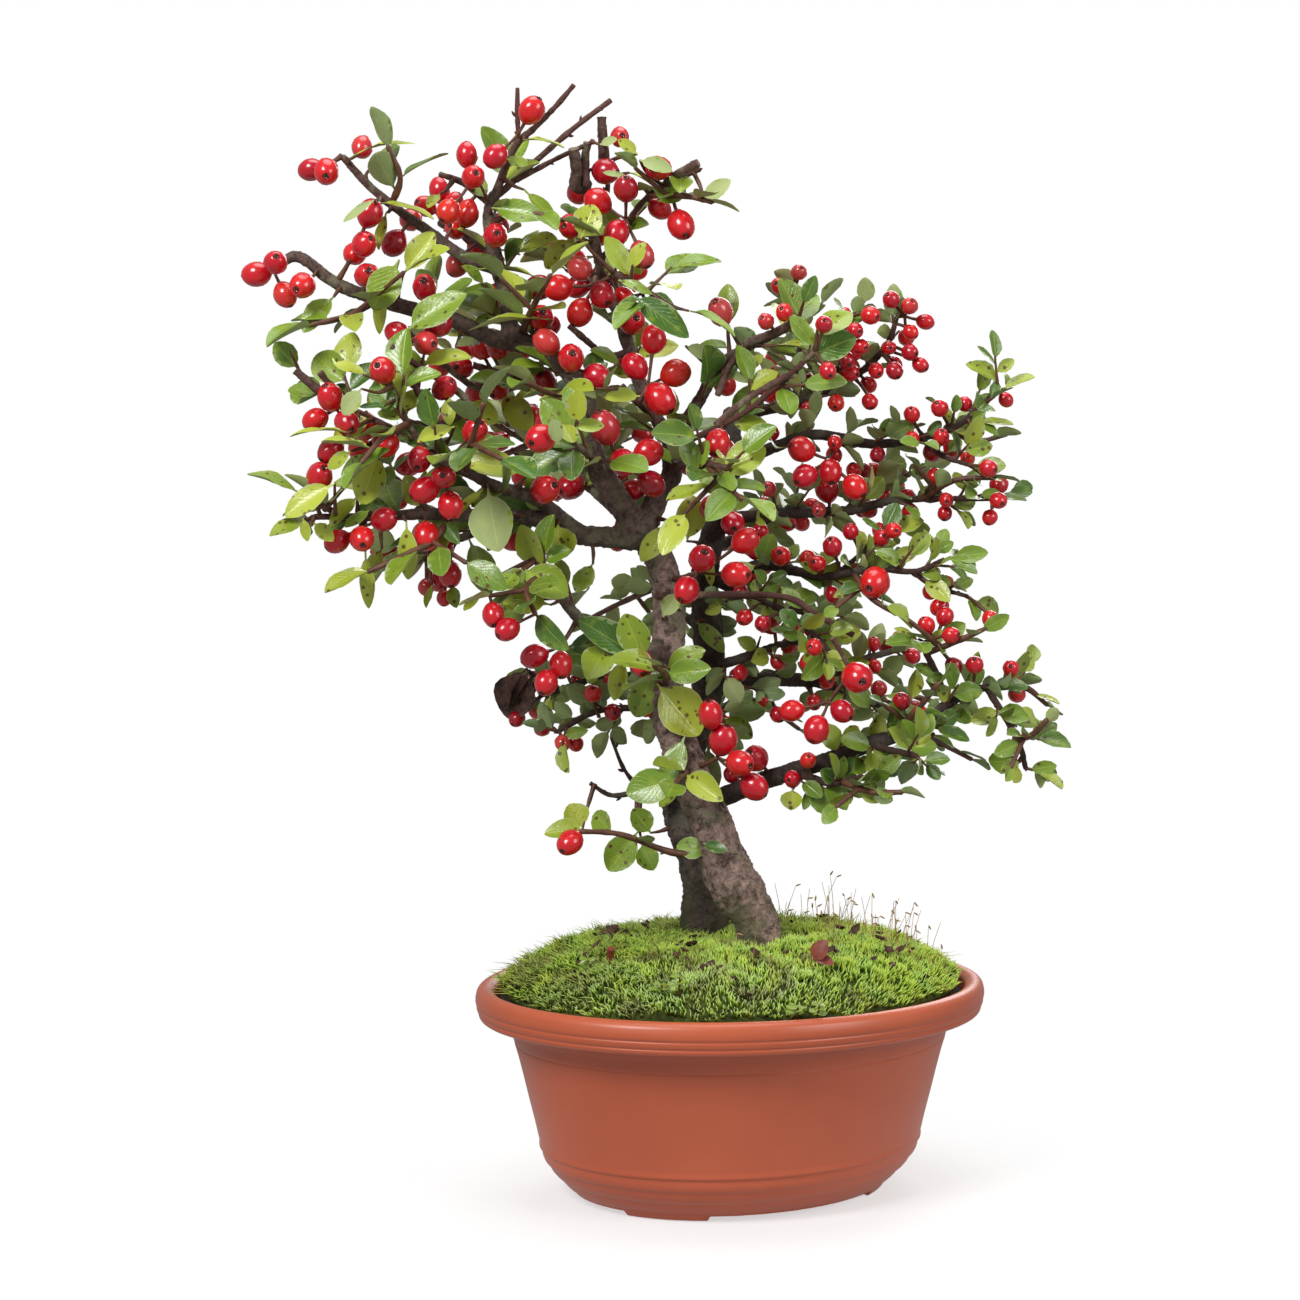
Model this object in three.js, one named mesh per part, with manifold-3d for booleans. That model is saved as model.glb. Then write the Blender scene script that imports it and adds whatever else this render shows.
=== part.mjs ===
// A cotoneaster bonsai: two small trees in one oval moulded plastic bowl, with soil and a moss cover.
// Millimetres, +Z up. The view of the photograph looks along +Y, with +X to the right.
// The ground is z = 0, and the finished group is centred over the origin.
import * as THREE from 'three';
import { mergeVertices } from 'three/addons/utils/BufferGeometryUtils.js';
import Module from 'manifold-3d';

const wasm = await Module();
wasm.setup();

// Pot: an oval bowl. Every radius below is along its long half axis; the short one is less by a fixed amount.
const potTurn = 30 * Math.PI / 180;
const ovalDifference = 11;
const ovalShare = 0.2;
const potFootRadius = 53.5;
const potFootWidth = 4;
const potPlateUnderside = 2;
const potPlateTop = 4.5;
const potWallFoot = 66;
const potWallTop = 77;
const potShoulderHeight = 19;
const potLipBottom = 58.5;
const potRimTop = 69;
const potRimRadius = 87;
const potRimInner = 80.5;
const potWallThickness = 2.2;
const potRibSteps = 4;
const potRibLowest = 4;
const potRibRise = 0.7;
const potSegments = 28;
const groundSegments = 20;
const footNotches = [
  { length: 62, width: 140 },
  { length: 140, width: 34 },
];
const drainHoleRadius = 4;
const drainHolePlaces = [[-26, 0], [26, 0], [0, 18], [0, -18]];

// Soil and moss: both follow one mound, a power of the way out from the middle of the bowl.
const soilEdgeHeight = 63.5;
const soilMound = 11;
const mossEdgeHeight = 66.5;
const mossMound = 17;
const moundPower = 5;
const mossReach = 77.5;
const mossRelief = 0.9;
const seat = 0.3;
const budGap = 0.4;

// The viewpoint from which the limbs' places were read.
const view = { x: -27.2, y: -824.4, z: 214.1 };

const lengthOf = (a) => Math.sqrt(a[0] * a[0] + a[1] * a[1] + a[2] * a[2]);
const add = (a, b) => [a[0] + b[0], a[1] + b[1], a[2] + b[2]];
const subtract = (a, b) => [a[0] - b[0], a[1] - b[1], a[2] - b[2]];
const times = (a, k) => [a[0] * k, a[1] * k, a[2] * k];
const dot = (a, b) => a[0] * b[0] + a[1] * b[1] + a[2] * b[2];
const cross = (a, b) => [a[1] * b[2] - a[2] * b[1], a[2] * b[0] - a[0] * b[2], a[0] * b[1] - a[1] * b[0]];
const unit = (a) => times(a, 1 / lengthOf(a));
const mix = (a, b, t) => a + (b - a) * t;

// A point written as it is seen, [x, z] in the upright plane through the pot's middle, with its real depth y.
function seen([x, z, depth]) {
  const spread = (depth - view.y) / -view.y;
  return [view.x + (x - view.x) * spread, depth, view.z + (z - view.z) * spread];
}

// Seeded draws between 0 and 1.
function draws(seed) {
  let state = seed % 2147483647;
  const next = () => {
    state = (state * 16807) % 2147483647;
    return state / 2147483647;
  };
  for (let i = 0; i < 4; i++) next();
  return next;
}

// Turns a closed geometry into a solid.
function solid(geometry) {
  geometry.deleteAttribute('normal');
  geometry.deleteAttribute('uv');
  const merged = mergeVertices(geometry, 1e-4);
  return new wasm.Manifold(new wasm.Mesh({
    numProp: 3,
    vertProperties: new Float32Array(merged.attributes.position.array),
    triVerts: new Uint32Array(merged.index.array),
  }));
}

function geometryOf(body) {
  const mesh = body.getMesh();
  const geometry = new THREE.BufferGeometry();
  geometry.setAttribute('position', new THREE.BufferAttribute(new Float32Array(mesh.vertProperties), 3));
  geometry.setIndex(new THREE.BufferAttribute(new Uint32Array(mesh.triVerts), 1));
  return geometry;
}

// Moves every vertex of a geometry to the place that a function gives for it.
function bend(geometry, place) {
  const position = geometry.attributes.position;
  for (let i = 0; i < position.count; i++) {
    const spot = place(position.getX(i), position.getY(i), position.getZ(i));
    position.setXYZ(i, spot[0], spot[1], spot[2]);
  }
  return geometry;
}

const join = (bodies) => bodies.reduce((all, body) => all.add(body));

// The largest body of a cut solid, without loose scraps.
function largest(body) {
  const pieces = body.decompose();
  return pieces.reduce((best, piece) => (piece.volume() > best.volume() ? piece : best));
}

// A smooth curve through a limb's points, as rings with a frame each.
function rings(points, steps) {
  const places = points.map((point) => new THREE.Vector3(...point));
  const curve = new THREE.CatmullRomCurve3(places, false, 'catmullrom', 0.5);
  const centres = Array.from({ length: steps + 1 }, (_, i) => curve.getPoint(i / steps).toArray());
  let normal = [0, 0, 0];
  return centres.map((centre, i) => {
    const before = centres[Math.max(i - 1, 0)];
    const after = centres[Math.min(i + 1, steps)];
    const along = unit(subtract(after, before));
    if (i === 0) normal = Math.abs(along[2]) < 0.9 ? cross(along, [0, 0, 1]) : cross(along, [0, 1, 0]);
    normal = unit(subtract(normal, times(along, dot(normal, along))));
    return { centre, along, normal, side: cross(along, normal) };
  });
}

// The radius at a share of a limb's length; its radii are spread evenly over it.
function radiusAt(radii, share) {
  const place = share * (radii.length - 1);
  const first = Math.min(Math.floor(place), radii.length - 2);
  return mix(radii[first], radii[first + 1], place - first);
}

// A tapering round limb along its points.
function limbSolid(limb, grow = 0) {
  const { points, radii, sides, steps } = limb;
  const line = rings(points, steps);
  return solid(bend(new THREE.CylinderGeometry(1, 1, 1, sides, steps), (x, y, z) => {
    const u = 0.5 - y;
    const ring = line[Math.round(u * steps)];
    const radius = radiusAt(radii, u) + grow;
    const centre = add(ring.centre, times(ring.along, u < 0.001 ? -grow : u > 0.999 ? grow : 0));
    return add(centre, add(times(ring.normal, x * radius), times(ring.side, z * radius)));
  }));
}

// How many sides a limb gets when it is thicker than a radius, and how far apart its rings lie.
const sidesFrom = [[5, 8], [2.6, 5], [1.5, 4], [0, 3]];
const usualRingSpacing = 22;
const ringsPerPoint = 0.6;

// A limb from its radii and its points as seen; thick limbs get more sides and closer rings.
function limb(radii, points, ringSpacing = usualRingSpacing) {
  const places = points.map(seen);
  const length = places.slice(1).reduce((sum, p, i) => sum + lengthOf(subtract(p, places[i])), 0);
  const [, sides] = sidesFrom.find(([from]) => Math.max(...radii) > from);
  const steps = Math.max(Math.ceil((points.length - 1) * ringsPerPoint), Math.round(length / ringSpacing));
  return limbAlong(places, radii, sides, steps);
}

// A limb with its axis, the straight runs between its rings.
function limbAlong(points, radii, sides, steps) {
  return { points, radii, sides, steps, axis: rings(points, steps).map((ring) => ring.centre) };
}

// The front tree: a leaning trunk with a graft swelling low down, then limbs to the left, up and back.
const frontLimbs = [
  limb([6.5, 7.2, 7, 8.2, 8, 6.9, 6.4, 6.2, 6, 6, 5.7, 5.4, 5.2, 5, 4.8, 4.6],
    [[15, 58, -20], [11, 74, -19], [8, 88, -17], [3, 97, -16], [-2, 106, -15], [-5, 115, -14],
      [-8.5, 125, -13],
      [-12, 131, -12], [-15, 140, -10], [-18, 148, -8], [-20.5, 155, -7], [-22, 168, -5], [-21, 185, -2],
      [-22, 200, -1], [-25, 210, 0], [-31, 218, 0]], 8),
  limb([4.2, 3.4, 2.8], [[-30, 216, 0], [-25, 228, 2], [-20, 236, 3], [-20, 245, 4], [-18, 251, 5]]),
  limb([2.6, 2.4, 2.1, 1.6, 1.1], [[-20, 246, 4], [-27, 258, 6], [-32, 270, 8], [-37, 287, 10],
    [-43, 303, 10],
    [-46, 316, 10], [-48, 330, 9], [-48, 343, 8]]),
  limb([1.3, 1, 0.8], [[-43, 306, 10], [-36, 315, 4], [-32, 322, -2], [-24, 330, -5], [-11, 335.5, -10]]),
  limb([0.9, 0.7], [[-45, 313, 10], [-41, 330, 14], [-42, 350, 16]]),
  limb([2.2, 1.8, 1.2], [[-18, 249, 5], [-10, 262, -2], [-6, 270, -6], [0, 275, -8], [10, 280, -10],
    [21, 285, -12]]),
  limb([1.1, 0.8], [[-17, 246, 4], [-8, 250, -8], [5, 257, -15], [18, 268, -20], [27, 276, -24]]),
  limb([1, 0.8], [[-20, 244, 3], [-28, 256, -10], [-37, 264, -20]]),
  limb([4.4, 4, 3.4, 3], [[-30, 216, 0], [-38, 228, -3], [-44, 238, -4], [-48, 250, -4], [-49, 262, -3],
    [-56, 272, -2], [-68, 279, 0], [-74, 285, 1]]),
  limb([2.9, 2.4, 2], [[-73, 284, 1], [-75, 295, 2], [-78, 308, 3], [-80, 320, 4], [-78, 328, 4]]),
  limb([1.6, 1, 0.8], [[-79, 324, 4], [-72, 342, 0], [-65, 349, -3], [-58, 356, -5], [-52, 363, -7]]),
  limb([1.1, 0.9], [[-78, 326, 4], [-66, 337, 10], [-52, 349, 15], [-40, 358, 18]]),
  limb([0.9, 0.7], [[-71, 332, 7], [-58, 339, 4], [-46, 344.5, 2]]),
  limb([0.9, 0.7], [[-70, 344, -1], [-70.5, 352, -1], [-70.5, 362, -2]]),
  limb([1.2, 0.9], [[-79, 324, 4], [-88, 331, 8], [-96, 334, 12]]),
  limb([2.2, 1.7, 1.3], [[-77, 303, 3], [-88, 307, 2], [-102, 317, 0], [-113, 325, -2], [-120, 331, -3],
    [-128, 340, -4]]),
  limb([2.8, 2.6, 2.1, 1.8], [[-67, 278, 0], [-80, 281, -2], [-90, 286, -4], [-105, 290, -5], [-122, 295, -6],
    [-131, 299, -6], [-142, 307, -7], [-149, 305, -7]]),
  limb([3.8, 3.2, 2.4, 1.8, 1.1], [[-29, 215, 0], [-50, 216, -6], [-62, 221, -10], [-80, 222, -16],
    [-100, 223, -20], [-118, 222, -23], [-138, 222, -25]]),
  limb([2.4, 2, 1.4, 1], [[-50, 217, -6], [-65, 228, -16], [-78, 232, -22], [-90, 238, -26], [-100, 243, -28],
    [-108, 255, -30], [-112, 265, -31]]),
  limb([1, 0.8], [[-90, 238, -26], [-98, 250, -20], [-104, 264, -16], [-111, 277, -14]]),
  limb([1, 0.8], [[-101, 244, -28], [-114, 252, -24], [-128, 259, -22], [-142, 269, -20]]),
  limb([2.8, 2, 1.3], [[-22, 175, -4], [-35, 180, -9], [-45, 183, -14], [-53, 191, -18], [-60, 200, -20],
    [-66, 210, -19]]),
  limb([2.6, 2, 1.3], [[-31, 217, 0], [-40, 226, 18], [-52, 236, 34], [-66, 246, 48], [-80, 254, 56]]),
  limb([1.8, 1.1], [[-38, 290, 10], [-46, 297, 24], [-55, 305, 36]]),
  limb([2.2, 1.7, 1.2], [[-49, 257, -3], [-60, 262, 12], [-74, 268, 28], [-92, 274, 42]]),
  limb([2, 1.4, 1], [[-70, 222, -12], [-84, 217, 4], [-98, 212, 20], [-106, 209, 30]]),
  limb([2, 1.3, 0.9], [[-43, 237, -4], [-46, 241, -24], [-53, 247, -44]]),
  limb([1.6, 1], [[-21, 238, 3], [-12, 240, -16], [-2, 238, -34]]),
  limb([1.8, 1.2], [[-74, 268, 28], [-80, 280, 40], [-84, 294, 50]]),
  limb([1.8, 1.1], [[-40, 226, 18], [-40, 238, 36], [-36, 250, 50]]),
  limb([1.5, 1], [[-78, 308, 3], [-86, 313, 18], [-96, 318, 30]]),
  limb([1.5, 1], [[-43, 303, 10], [-36, 300, -12], [-28, 296, -28]]),
  limb([1.5, 1], [[-100, 223, -20], [-108, 232, -2], [-116, 238, 12]]),
];

// The back tree: a shorter trunk behind the first one, with its limbs to the right, left and back.
const backLimbs = [
  limb([7.4, 7.8, 7.8, 7.2, 6.8, 6.4, 6, 5.6, 5.2, 4.8, 4.2, 3.6, 2.6],
    [[-9, 58, 8], [-9, 74, 8], [-9, 88, 8], [-9, 100, 9], [-12, 112, 11], [-16, 124, 14], [-17, 136, 17],
      [-13, 150, 20], [-8, 166, 22], [-8, 184, 24], [-9, 202, 26], [-5, 222, 28], [0, 240, 30],
        [-1, 257, 32]], 10),
  limb([3.4, 3, 2.6, 2, 1.2], [[-16, 124, 14], [-4, 129, 8], [8, 134, 2], [20, 138, -4], [33, 142, -8],
    [45, 147, -10], [55, 150, -10], [65, 155, -8], [72, 161, -6], [80, 165, -4], [92, 166.5, 0]]),
  limb([1.5, 1], [[20, 138, -4], [32, 134, -14], [43, 136, -22]]),
  limb([1.3, 0.9], [[45, 147, -10], [52, 145, -19], [61, 143, -27]]),
  limb([1.1, 0.8], [[84, 165.5, -3], [90, 156, -6], [95, 147, -8], [97, 139, -9]]),
  limb([1.2, 0.9], [[71, 161, -6], [67, 171, -10], [62, 181, -13]]),
  limb([3, 2.4, 1.8, 1.2], [[-8, 165, 22], [5, 168, 26], [25, 168, 31], [36, 165, 35], [46, 161, 39],
    [57, 154, 42]]),
  limb([2, 1.4, 1], [[-8, 172, 23], [5, 176, 12], [16, 180, 5], [29, 181, -2]]),
  limb([2.4, 1.8, 1.3, 1], [[-9, 200, 26], [10, 206, 12], [21, 204, 4], [32, 202.5, 0], [47, 205, -5],
    [60, 204, -8],
    [70, 208, -10]]),
  limb([0.9, 0.7], [[34, 203, -1], [44, 211, 4], [51, 217, 8]]),
  limb([0.9, 0.7], [[59, 204, -8], [67, 199, -4], [77, 196, -2]]),
  limb([1, 0.8], [[-8, 190, 24], [4, 196, 6], [18, 190, -6], [30, 180, -12], [37, 168, -15]]),
  limb([2.4, 1.8, 1.4, 1], [[-5, 221, 28], [15, 223, 22], [38, 224, 16], [51, 227, 12], [66, 228, 8],
    [85, 228, 4]]),
  limb([2.2, 1.8, 1.4, 1], [[0, 239, 30], [14, 245, 26], [28, 249, 20], [45, 246, 15], [57, 247, 12],
    [72, 251, 8], [80, 257, 6], [87, 264, 5]]),
  limb([0.9, 0.7], [[62, 248, 11], [69, 242, 2], [78, 239, -4]]),
  limb([2.2, 1.8, 1.3, 1], [[-1, 254, 32], [10, 257, 30], [20, 259, 28], [28, 262, 26], [38, 267, 24],
    [45, 272, 22],
    [51, 279, 21], [54, 288, 20]]),
  limb([1, 0.8], [[20, 259, 28], [22, 275, 30], [20, 296, 30]]),
  limb([0.9, 0.7], [[33, 264, 25], [35, 276, 16], [38, 287, 12]]),
  limb([1, 0.7], [[-16, 130, 16], [-30, 131, 14], [-40, 130, 12], [-47, 134, 10]]),
  limb([0.8, 0.6], [[-30, 131, 14], [-36, 139, 12], [-40, 149, 10]]),
  limb([2, 1.4, 0.9], [[-12, 158, 21], [-25, 167, 26], [-40, 170, 30], [-54, 166, 32], [-63, 163, 33]]),
  limb([1.6, 1.1, 0.8], [[-14, 150, 20], [-28, 158, 18], [-44, 158, 16], [-58, 151, 14]]),
  limb([2.6, 1.8, 1.1], [[-14, 146, 19], [-10, 152, 36], [-5, 158, 52], [5, 163, 66]]),
  limb([2.2, 1.5, 1], [[-8, 184, 24], [-18, 191, 40], [-28, 199, 56]]),
  limb([2.2, 1.5, 1], [[-7, 211, 27], [6, 218, 44], [20, 225, 60]]),
  limb([1.8, 1.2], [[28, 168, 31], [40, 174, 44], [54, 178, 56]]),
  limb([1.6, 1], [[20, 259, 28], [16, 266, 46], [10, 270, 60]]),
  limb([1.6, 1], [[38, 224, 16], [46, 232, 34], [58, 236, 48]]),
  limb([1.5, 1], [[-9, 202, 26], [16, 192, 42], [34, 190, 58]]),
];

// Leafy shoots of the front tree. Each has its stems as seen, the first one rooted in the wood and the others
// in the first, how many leaves each stem bears, and the leaves' shortest and longest length.
const frontShoots = [
  { stems: [[[-6, 110, -16], [-20, 111, -24], [-37, 117, -28], [-50, 118, -30]]],
    leaves: [4], length: [9, 14] },
  { stems: [[[-14, 138, -12], [-16, 137, -24], [-19, 134, -34]]], leaves: [4], length: [13, 18] },
  { stems: [[[-21, 166, -5], [-22, 170, -20], [-26, 173, -32]]], leaves: [4], length: [15, 21] },
  { stems: [[[-62, 204, -20], [-68, 198, -32], [-65, 190, -40]], [[-68, 198, -32], [-80, 196, -36]]],
    leaves: [4, 2], length: [12, 17] },
  { stems: [[[-92, 223, -19], [-99, 214, -30], [-111, 208, -34], [-120, 204, -34]], [[-99, 214, -30],
    [-88, 207, -40]]],
    leaves: [4, 2], length: [14, 20] },
  { stems: [[[-128, 222, -24], [-136, 226, -30], [-143, 230, -32]], [[-134, 225, -28], [-126, 234, -36]]],
    leaves: [4, 2], length: [12, 19] },
  { stems: [[[-106, 253, -30], [-115, 248, -40], [-122, 240, -45]]], leaves: [4], length: [11, 17] },
  { stems: [[[-88, 237, -25], [-86, 246, -40], [-82, 259, -50]], [[-86, 246, -40], [-76, 241, -52]]],
    leaves: [4, 2], length: [13, 20] },
  { stems: [[[-51, 265, -3], [-58, 262, -18], [-68, 266, -32]]], leaves: [4], length: [12, 18] },
  { stems: [[[-70, 281, 0], [-66, 290, -14], [-60, 301, -22]], [[-66, 290, -14], [-76, 300, -20]]],
    leaves: [4, 2], length: [14, 22] },
  { stems: [[[-116, 294, -6], [-126, 288, -16], [-138, 285, -22]], [[-122, 290, -12], [-108, 302, -24]]],
    leaves: [4, 2], length: [12, 19] },
  { stems: [[[-112, 324, -2], [-109, 333, -8], [-113, 343, -12]]], leaves: [4], length: [14, 19] },
  { stems: [[[-80, 318, 4], [-70, 322, -8], [-56, 319, -14]]], leaves: [4], length: [11, 16] },
  { stems: [[[-27, 327, -4], [-16, 327, -14], [-7, 325, -18]], [[-22, 327, -9], [-32, 336, -16]]],
    leaves: [4, 2], length: [10, 15] },
  { stems: [[[-8, 240, -22], [-2, 232, -32], [3, 228, -42]], [[-4, 235, -28], [-16, 223, -38]]],
    leaves: [4, 2], length: [13, 19] },
  { stems: [[[-66, 246, 48], [-76, 242, 60], [-86, 237, 68]], [[-72, 243, 55], [-62, 234, 66]]],
    leaves: [4, 2], length: [13, 19] },
  { stems: [[[-88, 273, 39], [-98, 277, 50], [-106, 281, 60]]], leaves: [4], length: [12, 18] },
  { stems: [[[-46, 297, 24], [-44, 308, 38], [-48, 316, 46]]], leaves: [4], length: [12, 17] },
];

// Leafy shoots of the back tree, with smaller leaves.
const backShoots = [
  { stems: [[[55, 150, -10], [61, 158, -20], [68, 167, -26]], [[58, 154, -15], [50, 160, -24]]],
    leaves: [4, 2], length: [8, 11] },
  { stems: [[[84, 165, -3], [96, 166, 4], [104, 160, 8]], [[93, 166, 2], [98, 174, 8]]],
    leaves: [4, 2], length: [7, 11] },
  { stems: [[[94, 149, -8], [99, 150, -16], [104, 155, -20]], [[97, 149, -12], [92, 139, -20]]],
    leaves: [4, 2], length: [7, 10] },
  { stems: [[[36, 134.5, -17], [46, 131, -28], [56, 131, -34]], [[42, 132, -24], [34, 126, -32]]],
    leaves: [4, 2], length: [8, 11] },
  { stems: [[[61, 153, -9], [70, 147, 0], [79, 142, 6]], [[66, 150, -4], [60, 141, 6]]],
    leaves: [4, 2], length: [8, 11] },
  { stems: [[[46, 161, 39], [58, 163, 48], [70, 160, 54]], [[52, 162, 44], [46, 152, 54]]],
    leaves: [4, 2], length: [8, 11] },
  { stems: [[[64, 177, -12], [74, 181, -18], [83, 185, -22]], [[69, 179, -15], [58, 188, -22]]],
    leaves: [4, 2], length: [8, 11] },
  { stems: [[[40, 203.5, -3], [45, 196, -12], [54, 190, -18]], [[43, 199, -8], [34, 192, -18]]],
    leaves: [4, 2], length: [8, 11] },
  { stems: [[[62, 228, 9], [73, 234, 2], [86, 235, -2]], [[67, 231, 6], [60, 239, -4]]],
    leaves: [4, 2], length: [8, 11] },
  { stems: [[[70, 250.5, 8], [80, 247, 16], [90, 249, 22]], [[75, 249, 12], [68, 258, 22]]],
    leaves: [4, 2], length: [8, 11] },
  { stems: [[[26, 261, 26], [30, 270, 40], [38, 279, 46]], [[28, 266, 34], [16, 274, 42]]],
    leaves: [4, 2], length: [8, 11] },
  { stems: [[[-40, 170, 30], [-52, 174, 38], [-66, 170, 44]], [[-46, 172, 34], [-44, 182, 44]]],
    leaves: [4, 2], length: [8, 12] },
  { stems: [[[2, 161, 62], [12, 159, 74], [22, 152, 80]], [[8, 160, 70], [-4, 154, 80]]],
    leaves: [4, 2], length: [8, 12] },
  { stems: [[[-27, 198, 54], [-36, 194, 66], [-46, 189, 74]], [[-32, 196, 60], [-24, 186, 70]]],
    leaves: [4, 2], length: [8, 12] },
  { stems: [[[19, 224, 58], [30, 222, 68], [40, 215, 74]], [[26, 223, 64], [18, 234, 74]]],
    leaves: [4, 2], length: [8, 12] },
];

// Bunches of berries: each berry's middle as seen and its length. A bunch's stalk starts at the nearest wood.
const frontBunches = [
  [[-66, 354.5, -10, 10], [-77.5, 340, -8, 9]],
  [[-87, 340, 0, 9], [-85, 333, -8, 9], [-93, 322, -6, 9]],
  [[-133, 335, -12, 10], [-138, 335.5, -4, 9]],
  [[-119, 321, -12, 10], [-121, 311, -14, 9.5], [-124, 308, -6, 9]],
  [[-156, 301.5, -10, 10], [-147, 295, -12, 9], [-150, 305, -16, 9]],
  [[-97, 285, -16, 9.5], [-110, 282, -14, 9], [-101, 279, -22, 9]],
  [[-132, 261, -28, 10], [-137, 254, -24, 9], [-127, 253, -32, 9.5]],
  [[-122, 215, -36, 9.5], [-115, 221, -32, 9], [-130, 214, -32, 9]],
  [[-101, 231, -34, 10.5], [-93, 226, -34, 9.5], [-95, 235, -40, 9]],
  [[-57, 173, -26, 9.5], [-65, 176, -24, 9.5], [-61, 168, -30, 9]],
  [[-3, 148, -22, 11], [-7, 156, -24, 10], [2, 141, -26, 10], [7, 133, -24, 10]],
  [[-24, 261, -14, 12], [-19, 269, -10, 10.5], [-32, 271, -10, 10], [-26, 280, -8, 10]],
  [[-42, 251, -24, 12], [-36, 240, -22, 10.5], [-28, 243, -18, 10], [-27, 233, -16, 10]],
  [[-53, 274, -18, 10.5], [-61, 279, -14, 10], [-45, 268, -16, 10]],
  [[-49, 290, -6, 10], [-44, 294, -8, 10], [-50, 303, 0, 9.5], [-57, 297, -8, 10]],
  [[-38, 315, -6, 10], [-44, 325, -2, 10], [-35, 329, -12, 9.5], [-30, 308, -8, 10]],
  [[1, 203, -22, 10.5], [-10, 208, -20, 10.5], [-15, 198, -18, 10], [4, 214, -18, 10]],
  [[-84, 262, 46, 10], [-92, 254, 52, 9.5], [-80, 246, 62, 10]],
];
const backBunches = [
  [[28, 152, -24, 10], [20, 158, -20, 8.5], [36, 158, -22, 8.5]],
  [[23, 244, 6, 10], [24, 235.5, 4, 9.5], [32, 237, 8, 9.5], [40, 232, 4, 9.5]],
  [[70, 189, -24, 6.5], [64, 186, -26, 6.5], [73, 173, -20, 6.5]],
  [[58, 291, 14, 6.5], [52, 293, 12, 6.5], [63, 286, 20, 6.5], [57, 281, 26, 6.5]],
];

const bark = { color: 0x5a463c, roughness: 0.85, metalness: 0 };
const darkBark = { color: 0x463a34, roughness: 0.85, metalness: 0 };
const largeLeaf = { color: 0x7f9a3c, roughness: 0.45, metalness: 0 };
const smallLeaf = { color: 0x6f8f35, roughness: 0.45, metalness: 0 };
const berryRed = { color: 0xb5122a, roughness: 0.25, metalness: 0 };

// The pot

// Maps a round, upright place (a radius, an angle and a height) to the turned oval.
function oval(radius, angle, height) {
  const x = radius * Math.cos(angle);
  const y = (radius - Math.min(ovalDifference, radius * ovalShare)) * Math.sin(angle);
  const [cos, sin] = [Math.cos(potTurn), Math.sin(potTurn)];
  return [x * cos - y * sin, x * sin + y * cos, height];
}

// Turns a profile about the pot's middle into an oval solid.
function ovalLathe(profile, segments, heightAt = (x, y, height) => height) {
  const turned = new THREE.LatheGeometry(profile.map(([r, h]) => new THREE.Vector2(r, h)), segments);
  return solid(bend(turned, (x, y, z) => {
    const place = oval(Math.hypot(x, z), Math.atan2(-z, x), y);
    return [place[0], place[1], heightAt(place[0], place[1], y)];
  }));
}

function potProfile() {
  const radiusAfter = (share) => mix(potFootRadius, potWallFoot, Math.sin(share * Math.PI / 2));
  const outer = [[potFootRadius, 0]];
  for (let i = 0; i < potRibSteps; i++) {
    const height = mix(potRibLowest, potShoulderHeight - 2, i / (potRibSteps - 1));
    outer.push([radiusAfter((i + 0.5) / potRibSteps), height - potRibRise]);
    outer.push([radiusAfter((i + 1) / potRibSteps), height + potRibRise]);
  }
  const wall = [[mix(potWallFoot, potWallTop, 0.45), 38], [potWallTop, potLipBottom]];
  const lip = [[potRimRadius - 1.5, potLipBottom], [potRimRadius, 65.5], [potRimRadius - 1, potRimTop - 0.6],
    [potRimRadius - 3, potRimTop], [potRimInner, potRimTop - 2]];
  const inner = [[potWallTop - potWallThickness, potLipBottom - 1],
    [potWallFoot - potWallThickness, potShoulderHeight], [potFootRadius - 1, potPlateTop]];
  const bottom = [[0, potPlateUnderside], [potFootRadius - potFootWidth, potPlateUnderside],
    [potFootRadius - potFootWidth, 0]];
  return [...bottom, ...outer, ...wall, ...lip, ...inner, [0, potPlateTop]];
}

function potSolid() {
  let pot = ovalLathe(potProfile(), potSegments);
  footNotches.forEach(({ length, width }) => {
    const cutter = new THREE.BoxGeometry(length, width, 2 * potPlateUnderside - 0.4);
    pot = pot.subtract(solid(cutter.rotateZ(potTurn)));
  });
  drainHolePlaces.forEach(([x, y]) => {
    const drill = new THREE.CylinderGeometry(drainHoleRadius, drainHoleRadius, 12, 8);
    pot = pot.subtract(solid(drill.rotateX(Math.PI / 2).translate(x, y, 3).rotateZ(potTurn)));
  });
  return pot;
}

// Soil and moss

const moundAt = (share) => 1 - Math.pow(Math.min(share, 1), moundPower);
// A slow rise and fall over the ground, as two crossing waves.
const relief = (x, y) => (
  Math.sin(0.21 * x + 0.4) * Math.cos(0.17 * y) + 0.6 * Math.sin(0.11 * x - 0.23 * y + 1.2));

function soilSolid() {
  const gap = potWallThickness + 2 * seat;
  const side = [[0, potPlateTop + seat], [potFootRadius - 1.3 - seat, potPlateTop + seat],
    [potWallFoot - gap, potShoulderHeight + seat], [potWallTop - gap - 0.1, potLipBottom - 1],
    [potRimInner - 2.9, soilEdgeHeight]];
  const top = [0.9, 0.78, 0].map((share) => (
    [share * potRimInner, soilEdgeHeight + soilMound * moundAt(share)]));
  return ovalLathe([...side, ...top], groundSegments);
}

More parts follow.
